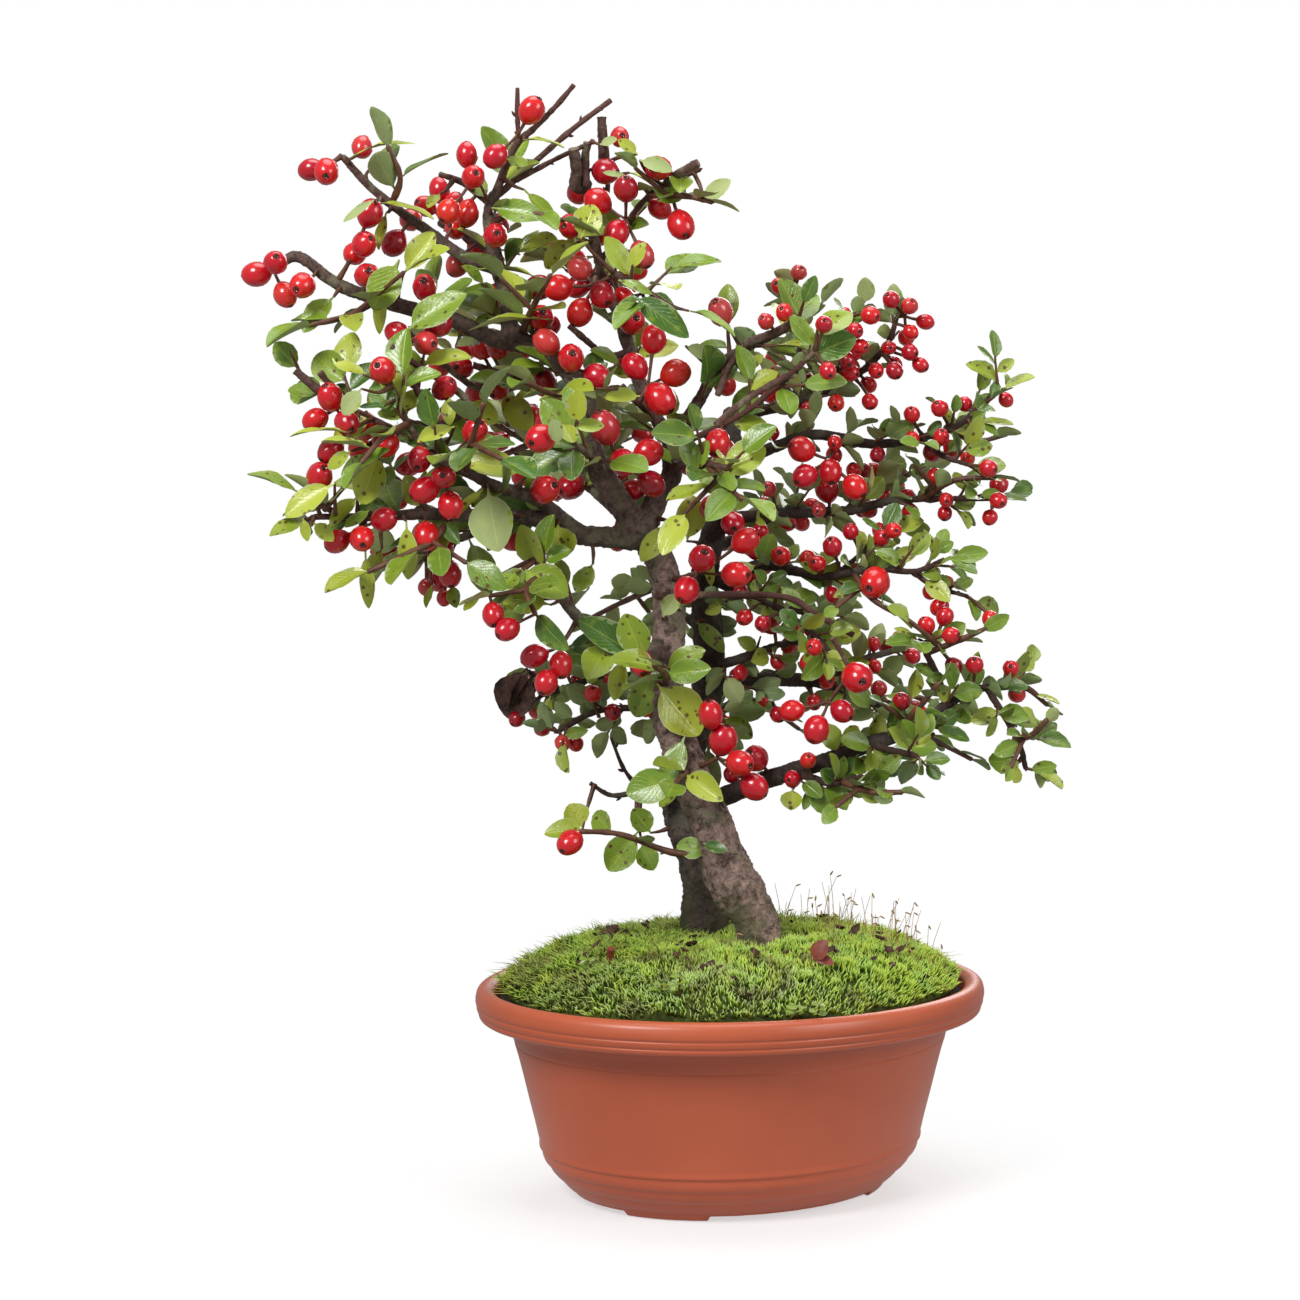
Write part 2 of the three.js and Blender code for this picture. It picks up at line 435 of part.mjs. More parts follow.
function mossSolid() {
  const under = [0, 0.78, 0.9, mossReach / potRimInner];
  const over = [mossReach / potRimInner, 0.93, 0.83, 0.64, 0.34, 0];
  const profile = [
    ...under.map((share) => [share * potRimInner, soilEdgeHeight + soilMound * moundAt(share) + seat + 0.2]),
    ...over.map((share) => [share * potRimInner, mossEdgeHeight + mossMound * moundAt(share)]),
  ];
  const topFrom = mossEdgeHeight + mossMound * moundAt(mossReach / potRimInner) + 0.5;
  return ovalLathe(profile, groundSegments, (x, y, height) => {
    const share = Math.hypot(x, y) / potRimInner;
    const underside = soilEdgeHeight + soilMound * moundAt(share) + 3;
    return height > Math.max(topFrom, underside) ? height + mossRelief * relief(x, y) : height;
  });
}

// Leaves and berries

// The stations along a blade and its width there. A large one has a short stalk.
const largeBlade = { stations: [0, 0.16, 0.46, 0.78, 1], widths: [0, 0.12, 1, 0.84, 0] };
const smallBlade = { stations: [0, 0.36, 0.74, 1], widths: [0, 0.9, 0.9, 0] };
const largeFrom = 18;
const bladeRib = 0.62;
const bladeFold = 0.1;

// A blade: an arched lens that starts on its stem's axis.
function leafSolid(leaf, grow = 0) {
  const { base, along, face, length, width, arch } = leaf;
  const side = cross(face, along);
  const { stations, widths } = length > largeFrom ? largeBlade : smallBlade;
  const last = stations.length - 1;
  return solid(bend(new THREE.SphereGeometry(1, 4, last), (x, y, z) => {
    const i = Math.round(Math.acos(Math.max(-1, Math.min(1, y))) / Math.PI * last);
    const turn = Math.hypot(x, z) > 0.01 ? Math.hypot(x, z) : 1;
    const reach = length * stations[i] + (i === last ? grow : 0);
    const half = widths[i] * width / 2 + grow;
    const edge = Math.abs(x / turn);
    const lift = -arch * length * stations[i] * stations[i] + edge * bladeFold * widths[i] * width;
    const place = add(base, add(times(along, reach), times(side, x / turn * half)));
    return add(place, times(face, lift + z / turn * (bladeRib + grow)));
  }));
}

// The stations along a berry, from its middle and by its length, and its radius there. The near end runs on
// as a thin stalk.
const berryStations = [0, -0.5, -0.2, 0.27, 0.5];
const berryRadii = [0, 0.06, 0.42, 0.38, 0];
const berrySpacing = 0.92;
const spreadRounds = 12;
// How far along the way from the bark to the middle of a bunch its stalk forks.
const forkShare = 0.55;
const stalkRadius = 0.9;
const berryInFork = 0.5;

// A berry on its own stalk, which starts at a fork.
function berrySolid(fork, middle, length, grow = 0) {
  const axis = unit(subtract(middle, fork));
  const helper = Math.abs(axis[2]) < 0.9 ? [0, 0, 1] : [1, 0, 0];
  const first = unit(cross(axis, helper));
  const second = cross(axis, first);
  const last = berryStations.length - 1;
  return solid(bend(new THREE.SphereGeometry(1, 5, last), (x, y, z) => {
    const i = Math.round(Math.acos(Math.max(-1, Math.min(1, y))) / Math.PI * last);
    const turn = Math.hypot(x, z) > 0.01 ? Math.hypot(x, z) : 1;
    const across = berryRadii[i] * length + (i === 0 || i === last ? 0 : grow);
    const radial = add(times(first, x / turn * across), times(second, z / turn * across));
    const start = subtract(fork, times(axis, berryInFork));
    const reach = berryStations[i] * length + (i === last ? grow : 0);
    const centre = i === 0 ? start : add(middle, times(axis, reach));
    return add(centre, radial);
  }));
}

// A thin straight stalk.
function stalkSolid(from, to, radius) {
  return limbSolid(limbAlong([from, to], [radius, radius], 3, 1));
}

// The nearest place on some limbs' axes, and how far their flats lie from the axis there.
function nearestOn(limbs, place) {
  let best = null;
  limbs.forEach(({ axis, radii, sides }) => axis.slice(1).forEach((end, i) => {
    const run = subtract(end, axis[i]);
    const t = Math.max(0, Math.min(1, dot(subtract(place, axis[i]), run) / dot(run, run)));
    const spot = add(axis[i], times(run, t));
    const distance = lengthOf(subtract(place, spot));
    const radius = radiusAt(radii, (i + t) / (axis.length - 1)) * Math.cos(Math.PI / sides);
    if (!best || distance < best.distance) best = { spot, distance, radius };
  }));
  return best;
}

// Where a stem towards a place leaves the bark of its limb: seated just clear of it.
function budOn(limbs, place, towards) {
  const { spot, radius } = nearestOn(limbs, place);
  return add(spot, times(unit(subtract(towards, spot)), radius + budGap));
}

const centreOfCrown = seen([-25, 215, 5]);
const leafTries = 5;
const ownOverlap = 0.01;
// The last leaf of a stem starts this far back inside it.
const tipInset = 1.2;

// One leaf's draw: where it sits on its stem, where it points and how its face lies.
function drawLeaf(shoot, stemPoints, seed, index, count, attempt) {
  const next = draws(seed * 10007 + index * 211 + attempt * 17 + 5);
  const along = 0.2 + 0.8 * (index / Math.max(count - 1, 1));
  const place = along * (stemPoints.length - 1);
  const run = Math.min(Math.floor(place), stemPoints.length - 2);
  const last = index === count - 1;
  const tangent = unit(subtract(stemPoints[run + 1], stemPoints[run]));
  const onRun = add(stemPoints[run], times(subtract(stemPoints[run + 1], stemPoints[run]), place - run));
  const base = add(onRun, times(tangent, last ? -tipInset : 0));
  const sideways = unit(cross(tangent, Math.abs(tangent[2]) < 0.95 ? [0, 0, 1] : [0, 1, 0]));
  const upwards = cross(sideways, tangent);
  const wide = 1 + 0.5 * attempt;
  const open = last ? 0.3 * wide * next() : mix(0.6, 1.25, next());
  const roll = mix(-0.5, 0.75, next()) * wide;
  const hand = index % 2 === 0 ? 1 : -1;
  const out = add(times(sideways, hand * Math.cos(roll)), times(upwards, Math.sin(roll)));
  const direction = unit(add(times(tangent, Math.cos(open)), times(out, Math.sin(open))));
  const outward = unit(subtract(base, centreOfCrown));
  const lean = [next() - 0.5, next() - 0.5, next() - 0.5];
  let face = add([0, 0, 1], add(times(outward, 0.75), times(lean, 0.9)));
  face = unit(subtract(face, times(direction, dot(face, direction))));
  const length = mix(shoot.length[0], shoot.length[1], next());
  const width = length * mix(0.5, 0.66, next());
  const arch = mix(0.04, 0.26, next());
  return { base, along: direction, face, length, width, arch };
}

// The whole

const group = new THREE.Group();
const placed = [];

function boxesMeet(a, b) {
  return [0, 1, 2].every((i) => a.min[i] < b.max[i] && b.min[i] < a.max[i]);
}

// Whether a solid meets one that is already placed in another node. A stalk may reach into the wood.
function meets(body, owner, inWood = false) {
  const box = body.boundingBox();
  return placed.some((other) => other.owner !== owner && !(inWood && other.owner === 'wood')
    && boxesMeet(box, other.box) && body.intersect(other.body).volume() > 1e-6);
}

function keep(body, owner) {
  placed.push({ body, owner, box: body.boundingBox() });
}

function addNode(name, body, finish) {
  const mesh = new THREE.Mesh(geometryOf(body), new THREE.MeshStandardMaterial(finish));
  mesh.name = name;
  group.add(mesh);
}

const allLimbs = [...frontLimbs, ...backLimbs];
allLimbs.forEach((one) => keep(limbSolid(one), 'wood'));
const frontWood = join(frontLimbs.map((one) => limbSolid(one)));
const backWood = join(backLimbs.map((one) => limbSolid(one)));
const woodRoom = join(allLimbs.map((one) => limbSolid(one, seat)));
const groundRoom = join([frontLimbs[0], backLimbs[0]].map((one) => limbSolid(one, seat)));

addNode('pot', potSolid(), { color: 0xb5573a, roughness: 0.5, metalness: 0 });
addNode('soil', soilSolid().subtract(groundRoom), { color: 0x2e241c, roughness: 0.95, metalness: 0 });
addNode('moss', mossSolid().subtract(groundRoom), { color: 0x5f7f2a, roughness: 0.95, metalness: 0 });
addNode('front_trunk', frontWood, bark);
addNode('back_trunk', backWood, darkBark);

const number = (i) => String(i + 1).padStart(2, '0');

const mainStemRadii = [1.2, 0.8];
const sideStemRadii = [0.9, 0.7];

// The stems of a shoot: the first starts on the nearest wood, and the others on the first.
function shootStems(shoot) {
  const stems = [];
  shoot.stems.forEach((points, i) => {
    const places = points.map(seen);
    places[0] = i === 0 ? budOn(allLimbs, places[0], places[1]) : nearestOn([stems[0]], places[0]).spot;
    stems.push(limbAlong(places, i === 0 ? mainStemRadii : sideStemRadii, 3, places.length - 1));
  });
  return stems;
}

// The shoots of one tree, with their names, finish and seeds.
function shootsOf(tree, list, finish, firstSeed) {
  return list.map((shoot, i) => (
    { ...shoot, finish, name: `${tree}_shoot_${number(i)}`, seed: firstSeed + i, lines: shootStems(shoot) }));
}

const shoots = [...shootsOf('front', frontShoots, largeLeaf, 1), ...shootsOf('back', backShoots, smallLeaf, 101)];
shoots.forEach((shoot) => shoot.lines.forEach((line) => keep(limbSolid(line, seat), shoot.name)));

// Moves the berries of a bunch apart until they hardly touch.
function spreadApart(middles, lengths) {
  const moved = middles.map((middle) => [...middle]);
  for (let round = 0; round < spreadRounds; round++) {
    for (let i = 0; i < moved.length; i++) {
      for (let j = 0; j < i; j++) {
        const run = subtract(moved[i], moved[j]);
        const short = berrySpacing * (lengths[i] + lengths[j]) / 2 - lengthOf(run);
        if (short <= 0) continue;
        moved[i] = add(moved[i], times(unit(run), short / 2));
        moved[j] = subtract(moved[j], times(unit(run), short / 2));
      }
    }
  }
  return moved;
}

// A bunch: a stalk from the wood to a fork, and each berry on its own short stalk.
function bunchSolids(berries, depthShift, grow) {
  const seenAt = berries.map(([x, z, depth]) => seen([x, z, depth + depthShift]));
  const middles = spreadApart(seenAt, berries.map((berry) => berry[3]));
  const centre = times(middles.reduce(add), 1 / middles.length);
  const root = budOn(allLimbs, centre, centre);
  const fork = add(root, times(subtract(centre, root), forkShare));
  return [stalkSolid(root, fork, stalkRadius + grow), ...middles.map((middle, i) => (
    berrySolid(fork, middle, berries[i][3], grow)))];
}

// How far a bunch may move in depth until it is clear.
const depthTries = [0, 4, -4, 8, -8, 12, -12, 16, -16, 20, -20];
const bunches = [
  ...frontBunches.map((berries, i) => ({ berries, name: `front_berries_${number(i)}` })),
  ...backBunches.map((berries, i) => ({ berries, name: `back_berries_${number(i)}` })),
];
bunches.forEach(({ berries, name }) => {
  const clear = depthTries.find((shift) => {
    const [stem, ...rest] = bunchSolids(berries, shift, seat);
    return !meets(stem, name, true) && rest.every((body) => !meets(body, name));
  });
  const bodies = bunchSolids(berries, clear ?? 0, 0);
  bodies.forEach((body) => keep(body, name));
  addNode(name, largest(join(bodies).subtract(woodRoom)), berryRed);
});

shoots.forEach((shoot) => {
  const own = [];
  shoot.lines.forEach((line, stemIndex) => {
    const count = shoot.leaves[stemIndex];
    for (let index = 0; index < count; index++) {
      for (let attempt = 0; attempt < leafTries; attempt++) {
        const leaf = drawLeaf(shoot, line.points, shoot.seed * 3 + stemIndex, index, count, attempt);
        if (meets(leafSolid(leaf, seat), shoot.name)) continue;
        const body = leafSolid(leaf);
        if (own.some((other) => other.intersect(body).volume() > ownOverlap * body.volume())) continue;
        own.push(body);
        break;
      }
    }
  });
  own.forEach((body) => keep(body, shoot.name));
  const whole = join([...shoot.lines.map((line) => limbSolid(line)), ...own]).subtract(woodRoom);
  addNode(shoot.name, largest(whole), shoot.finish);
});

// Centres the group over the origin.
const extent = new THREE.Box3().setFromObject(group);
group.position.set(-(extent.min.x + extent.max.x) / 2, -(extent.min.y + extent.max.y) / 2, 0);

export default group;
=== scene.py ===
"""A cotoneaster bonsai: the looks of two small trees in an oval plastic bowl, with soil, moss and berries."""
import math
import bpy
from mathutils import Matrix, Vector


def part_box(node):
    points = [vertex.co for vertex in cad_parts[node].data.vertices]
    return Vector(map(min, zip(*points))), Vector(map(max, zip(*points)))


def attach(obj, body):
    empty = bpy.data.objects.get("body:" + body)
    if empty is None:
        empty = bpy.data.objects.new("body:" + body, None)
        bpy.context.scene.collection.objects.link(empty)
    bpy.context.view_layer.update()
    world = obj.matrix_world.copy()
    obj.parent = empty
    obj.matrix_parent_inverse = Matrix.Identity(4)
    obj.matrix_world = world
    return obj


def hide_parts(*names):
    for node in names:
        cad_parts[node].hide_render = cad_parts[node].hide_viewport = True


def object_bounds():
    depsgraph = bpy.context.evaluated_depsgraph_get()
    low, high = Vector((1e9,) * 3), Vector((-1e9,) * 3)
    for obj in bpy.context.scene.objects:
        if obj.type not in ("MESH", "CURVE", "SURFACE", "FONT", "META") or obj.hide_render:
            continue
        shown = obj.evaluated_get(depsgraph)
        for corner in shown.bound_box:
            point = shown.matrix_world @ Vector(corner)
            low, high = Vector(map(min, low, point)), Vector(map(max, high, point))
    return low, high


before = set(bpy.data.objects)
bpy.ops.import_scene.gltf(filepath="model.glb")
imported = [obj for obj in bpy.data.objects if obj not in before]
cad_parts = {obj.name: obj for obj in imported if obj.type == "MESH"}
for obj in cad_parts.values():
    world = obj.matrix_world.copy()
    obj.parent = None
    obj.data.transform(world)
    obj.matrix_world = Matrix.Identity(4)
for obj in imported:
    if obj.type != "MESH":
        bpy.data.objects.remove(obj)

from types import SimpleNamespace

import bpy
import numpy as np
from mathutils import Vector, kdtree, noise

cad_bounds = [list(corner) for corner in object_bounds()]
MM = 0.001

# Sizes in millimetres from the middle of the pot's foot, as the solids are laid out.
POT_TURN = math.radians(30)
OVAL_DIFFERENCE = 11
POT_RIM_INNER = 80.5
SOIL_EDGE_HEIGHT = 63.5
SOIL_MOUND = 11
MOSS_EDGE_HEIGHT = 66.5
MOSS_MOUND = 17
MOUND_POWER = 5
MOSS_REACH = 77.5
BUD_GAP = 0.4
VIEW = (-27.2, -824.4, 214.1)
UP = np.array([0, 0, 1.0])
TURN = 6.28
BLANK = (0, 0, 0, 0)
THICKEST = 8
IN_BARK = 0.8
DRAW_MODULUS = 2147483647
DRAW_FACTOR = 16807
SHARP_FROM = math.radians(75)

pot_low, pot_high = (np.array(corner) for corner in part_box("pot"))
POT_CENTRE = (pot_low + pot_high) / 2
POT_CENTRE[2] = pot_low[2]


def metres(points):
    """Points in millimetres about the pot's foot, in metres in the frame."""
    return np.asarray(points) * MM + POT_CENTRE


def unit(vector):
    return vector / math.sqrt(float(vector @ vector))


def mix(a, b, share):
    return a + (b - a) * share


def around(first, second, angle):
    """A direction at an angle between two that stand square to each other."""
    return first * math.cos(angle) + second * math.sin(angle)


def square_to(face, along):
    """A direction made square to another."""
    return unit(face - along * float(face @ along))


def seen(point):
    """A point written as it is seen, [x, z] in the upright plane through the pot's middle, with its depth."""
    x, z, depth = point
    spread = (depth - VIEW[1]) / -VIEW[1]
    return np.array([VIEW[0] + (x - VIEW[0]) * spread, depth, VIEW[2] + (z - VIEW[2]) * spread])


def draws(seed):
    """Seeded draws between 0 and 1."""
    state = seed % DRAW_MODULUS

    def following():
        nonlocal state
        state = (state * DRAW_FACTOR) % DRAW_MODULUS
        return state / DRAW_MODULUS

    for _ in range(4):
        following()
    return following


def wander(follow):
    """A small draw to each side, in each direction."""
    return np.array([follow() - 0.5, follow() - 0.5, follow() - 0.5])


def curve_point(points, share):
    """A place on the smooth curve through some points."""
    last = len(points) - 1
    place = last * share
    first = int(math.floor(place))
    weight = place - first
    if weight == 0 and first == last:
        first, weight = last - 1, 1.0
    before = points[first - 1] if first > 0 else 2 * points[0] - points[1]
    a, b = points[first], points[first + 1]
    after = points[first + 2] if first + 2 <= last else 2 * points[last] - points[last - 1]
    start, end = 0.5 * (b - before), 0.5 * (after - a)
    quadratic = -3 * a + 3 * b - 2 * start - end
    cubic = 2 * a - 2 * b + start + end
    return a + start * weight + quadratic * weight ** 2 + cubic * weight ** 3


def rings(points, steps):
    """Rings along the curve: middle, direction, and the two directions across."""
    centres = [curve_point(points, i / steps) for i in range(steps + 1)]
    across = None
    line = []
    for i, centre in enumerate(centres):
        along = unit(centres[min(i + 1, steps)] - centres[max(i - 1, 0)])
        if i == 0:
            helper = UP if abs(along[2]) < 0.9 else np.array([0, 1.0, 0])
            across = np.cross(along, helper)
        across = square_to(across, along)
        line.append((centre, along, across, np.cross(along, across)))
    return line


def radius_at(radii, share):
    place = share * (len(radii) - 1)
    first = min(int(math.floor(place)), len(radii) - 2)
    return mix(radii[first], radii[first + 1], place - first)


def limb_along(points, radii, sides, steps, leafy=0.0):
    axis = [ring[0] for ring in rings(points, steps)]
    return SimpleNamespace(points=points, radii=radii, sides=sides, axis=axis, leafy=leafy)


def limb(radii, points, ring_spacing=22, leafy=1.0):
    """A limb from its radii and its points as seen. leafy says how thickly spurs stand on it."""
    places = [seen(point) for point in points]
    length = sum(np.linalg.norm(b - a) for a, b in zip(places, places[1:]))
    thick = max(radii)
    sides = 8 if thick > 5 else 5 if thick > 2.6 else 4 if thick > 1.5 else 3
    steps = max(math.ceil((len(points) - 1) * 0.6), math.floor(length / ring_spacing + 0.5))
    return limb_along(places, radii, sides, steps, leafy)


def nearest_on(limbs, place):
    """The nearest place on some limbs' axes, and how far their flats lie from the axis there."""
    best = None
    for one in limbs:
        axis = one.axis
        for i in range(len(axis) - 1):
            run = axis[i + 1] - axis[i]
            share = max(0.0, min(1.0, float((place - axis[i]) @ run) / float(run @ run)))
            spot = axis[i] + run * share
            distance = float(np.linalg.norm(place - spot))
            if best is None or distance < best[1]:
                reach = radius_at(one.radii, (i + share) / (len(axis) - 1))
                best = (spot, distance, reach * math.cos(math.pi / one.sides))
    return best


def bud_on(limbs, place, towards):
    """Where a stem towards a place leaves the bark of its limb."""
    spot, _, reach = nearest_on(limbs, place)
    return spot + unit(towards - spot) * (reach + BUD_GAP)


def rooted(limbs, place, depth):
    """The bud of a stem that runs to a place, and the stem's start, which lies in the bark."""
    root = bud_on(limbs, place, place)
    return root, root - unit(place - root) * (BUD_GAP + depth)


class Sheets:
    """Collects points and faces into one mesh, with a place on its own form and a tint at each point."""

    def __init__(self):
        self.points, self.faces, self.slots, self.places, self.tints = [], [], [], [], []
        self.count = 0

    def add(self, points, faces, slots, places, tints):
        self.points.append(np.asarray(points, dtype=float).reshape(-1, 3))
        self.faces.extend(tuple(i + self.count for i in face) for face in faces)
        self.slots.extend(slots)
        self.places.append(np.asarray(places, dtype=float).reshape(-1, 4))
        self.tints.append(np.asarray(tints, dtype=float).reshape(-1, 4))
        self.count += len(self.points[-1])

    def build(self, name, materials):
        mesh = bpy.data.meshes.new(name)
        mesh.from_pydata(metres(np.concatenate(self.points)), [], self.faces)
        for material in materials:
            mesh.materials.append(material)
        mesh.polygons.foreach_set("material_index", self.slots)
        mesh.polygons.foreach_set("use_smooth", [True] * len(self.faces))
        keep_layers(mesh, np.concatenate(self.places), np.concatenate(self.tints))
        mesh.validate()
        mesh.update()
        mesh.set_sharp_from_angle(angle=SHARP_FROM)
        return new_object(name, mesh)


def keep_layers(mesh, places, tints):
    """Stores the two values of every point that the materials read."""
    for layer, values in (("place", places), ("tint", tints)):
        attribute = mesh.color_attributes.new(layer, "FLOAT_COLOR", "POINT")
        attribute.data.foreach_set("color", values.ravel())


def new_object(name, mesh):
    piece = bpy.data.objects.new(name, mesh)
    bpy.context.scene.collection.objects.link(piece)
    return piece


def put(piece, slot, *replaced):
    """Lets a piece ride on the body and hides the solids that it stands for; slot is not used."""
    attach(piece, "root")
    if replaced:
        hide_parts(*replaced)


def grid_faces(rows, columns, closed=False):
    """Quads between the points of a grid, row by row; a closed grid joins its last column to its first."""
    faces = []
    for r in range(rows - 1):
        for c in range(columns if closed else columns - 1):
            here, after = r * columns + c, r * columns + (c + 1) % columns
            faces.append((here, after, after + columns, here + columns))
    return faces


def capped_faces(rows, columns):
    """The faces of a closed grid whose two ends run to two more points, which follow the grid's own."""
    faces = grid_faces(rows, columns, closed=True)
    start, top = rows * columns, (rows - 1) * columns
    for k in range(columns):
        after = (k + 1) % columns
        faces.append((k, start, after))
        faces.append((top + k, top + after, start + 1))
    return faces


# Materials, from small steps that are shared


class Steps:
    """The nodes of one material or of the studio."""

    def __init__(self, tree):
        self.tree = tree

    def feed(self, socket, value):
        """Sets a socket to a number or a colour, or links it to the output of another node."""
        if isinstance(value, bpy.types.NodeSocket):
            self.tree.links.new(value, socket)
        elif socket.type == "RGBA":
            socket.default_value = (*value, 1)
        else:
            socket.default_value = value

    def node(self, kind, inputs=None, **settings):
        made = self.tree.nodes.new("ShaderNode" + kind)
        for key, value in settings.items():
            setattr(made, key, value)
        for key, value in (inputs or {}).items():
            self.feed(made.inputs[key], value)
        return made

    def here(self):
        return self.node("TexCoord").outputs["Object"]

    def noise(self, scale, detail=4.0, roughness=0.55, distortion=0.0):
        settings = {"Scale": scale, "Detail": detail, "Roughness": roughness, "Distortion": distortion}
        return self.node("TexNoise", {**settings, "Vector": self.here()}).outputs["Fac"]

    def cells(self, scale):
        spots = self.node("TexVoronoi", {"Scale": scale, "Randomness": 1.0, "Vector": self.here()})
        return spots.outputs["Distance"]

    def ramp(self, value, stops):
        made = self.node("ValToRGB", {"Fac": value})
        while len(made.color_ramp.elements) < len(stops):
            made.color_ramp.elements.new(0.5)
        for element, (position, colour) in zip(made.color_ramp.elements, stops):
            element.position = position
            element.color = (*colour, 1)
        return made.outputs["Color"]

    def blend(self, share, first, second):
        return self.node("Mix", {0: share, 6: first, 7: second}, data_type="RGBA").outputs[2]

    def maths(self, how, first, second=0.0, third=0.0):
        return self.node("Math", {0: first, 1: second, 2: third}, operation=how).outputs[0]

    def times(self, first, second):
        return self.maths("MULTIPLY", first, second)

    def less(self, first, second):
        return self.maths("SUBTRACT", first, second)

    def band(self, value, low, high):
        """A smooth step of a value from 0 at low to 1 at high."""
        limits = {"From Min": low, "From Max": high, "Value": value}
        return self.node("MapRange", limits, interpolation_type="SMOOTHSTEP").outputs["Result"]

    def fall(self, value, low, high):
        """A smooth step of a value from 1 at low to 0 at high."""
        return self.less(1.0, self.band(value, low, high))

    def own(self, layer):
        """A point's place on its own form, or its tint, as separate values."""
        stored = self.node("Attribute", attribute_name=layer).outputs["Color"]
        return self.node("SeparateColor", {"Color": stored}).outputs[:3]


class Surface(Steps):
    """A material with its colour so far."""

    def __init__(self, name, colour=None):
        self.material = bpy.data.materials.new(name)
        self.material.use_nodes = True
        super().__init__(self.material.node_tree)
        self.colour = colour

    def cover(self, share, colour, strength=None):
        """Lays another colour over the colour so far."""
        if strength is not None:
            share = self.times(share, strength)
        self.colour = self.blend(share, self.colour, colour)

    def done(self, roughness, specular, height=None, strength=1.0, distance=0.0, **others):
        """Sets the shader's own numbers, and a bump of some height where there is one."""
        shader = self.tree.nodes["Principled BSDF"]
        values = {"Base Color": self.colour, "Roughness": roughness, "Specular IOR Level": specular}
        values.update((key.replace("_", " ").title(), value) for key, value in others.items())
        if height is not None:
            bump = self.node("Bump", {"Strength": strength, "Distance": distance, "Height": height})
            values["Normal"] = bump.outputs["Normal"]
        for key, value in values.items():
            self.feed(shader.inputs[key], value)
        return self.material


def leaf_material(name, green, yellow, dark, under=False):
    """place holds how far across and along the blade a point is; tint holds three draws of its leaf."""
    make = Surface(name, green)
    across, along, _ = make.own("place")
    _, age, shade = make.own("tint")
    make.cover(make.band(age, 0.25, 0.95), yellow)
    make.cover(make.band(shade, 0.55, 1.0), dark)
    make.cover(make.band(make.noise(260.0, 3.0), 0.5, 0.75), yellow, 0.35)
    # The midrib is pale, and side veins run forward from it.
    middle = make.maths("ABSOLUTE", make.less(across, 0.5))
    rib = make.fall(middle, 0.0, 0.035)
    wave = make.maths("FRACT", make.less(make.times(along, 9.0), make.times(middle, 7.0)))
    vein = make.fall(make.maths("ABSOLUTE", make.less(wave, 0.5)), 0.0, 0.09)
    lines = make.maths("MAXIMUM", rib, make.times(vein, 0.4))
    make.cover(lines, tuple(min(1.0, c * 1.5 + 0.04) for c in yellow), 0.3)
    # Older leaves have brown spots.
    if not under:
        spot = make.fall(make.cells(360.0), 0.2, 0.3)
        some = make.band(make.noise(190.0, 2.0), 0.44, 0.5)
        old = make.band(age, 0.22, 0.4)
        make.cover(make.times(make.times(spot, some), old), (0.085, 0.020, 0.008), 0.85)
    # The rim is fine and pale.
    make.cover(make.band(middle, 0.468, 0.497), (0.55, 0.62, 0.36), 0.55)
    height = make.less(make.noise(900.0, 2.0), lines)
    roughness, specular = (0.6, 0.3) if under else (0.28, 0.55)
    return make.done(roughness, specular, height, 0.35, 0.0003)


def bark_material(name, base, ridge, lichen, red):
    """place holds how thick the limb is and marks a cut end."""
    make = Surface(name)
    thick, _, cut = make.own("place")
    coarse = make.noise(330.0, 9.0, 0.74, 0.5)
    fine = make.noise(900.0, 6.0, 0.75)
    # The bark runs from its base colour to its paler ridges; the last stop, the ridge colour made 1.7 times
    # lighter, is a painted highlight on the raised ridges.
    make.colour = make.ramp(coarse, [(0.38, base), (0.51, ridge), (0.66, tuple(c * 1.7 for c in ridge))])
    make.cover(make.band(fine, 0.5, 0.8), tuple(c * 0.35 for c in base), 0.5)
    make.cover(make.fall(thick, 0.4, 0.75), (0.030, 0.017, 0.013), 0.65)
    make.cover(make.fall(thick, 0.08, 0.25), red, 0.8)
    growth = make.noise(90.0, 5.0, 0.7)
    make.cover(make.band(growth, 0.5, 0.64), lichen, 0.6)
    height_up = make.node("SeparateXYZ", {"Vector": make.here()}).outputs["Z"]
    mossy = make.times(make.fall(height_up, 0.086, 0.118), make.band(growth, 0.38, 0.62))
    make.cover(mossy, (0.06, 0.065, 0.02), 0.75)
    make.cover(cut, (0.33, 0.24, 0.15))
    height = make.maths("ADD", coarse, make.times(fine, 0.5))
    return make.done(0.72, 0.35, height, 1.0, 0.0012)


def berry_material():
    """place holds how far along the berry a point is; tint holds two draws of it."""
    make = Surface("berry_skin")
    along = make.own("place")[0]
    ripe, dull, _ = make.own("tint")
    make.colour = make.ramp(ripe, [(0.0, (0.66, 0.070, 0.014)), (0.16, (0.66, 0.010, 0.012)),
                                   (0.6, (0.52, 0.004, 0.017)), (1.0, (0.14, 0.003, 0.010))])
    make.cover(make.band(make.noise(240.0, 3.0), 0.45, 0.75), (0.30, 0.003, 0.014), 0.35)
    make.cover(make.fall(make.cells(1100.0), 0.05, 0.13), (0.75, 0.25, 0.15), 0.25)
    make.cover(make.band(along, 0.86, 0.96), (0.040, 0.013, 0.009))
    make.cover(make.band(dull, 0.9, 1.0), (0.50, 0.10, 0.085), 0.5)
    return make.done(0.22, 0.6, make.noise(500.0, 3.0), 0.12, 0.0003, coat_weight=0.25, coat_roughness=0.12,
                     subsurface_weight=0.06, subsurface_radius=(0.002, 0.0006, 0.0004))


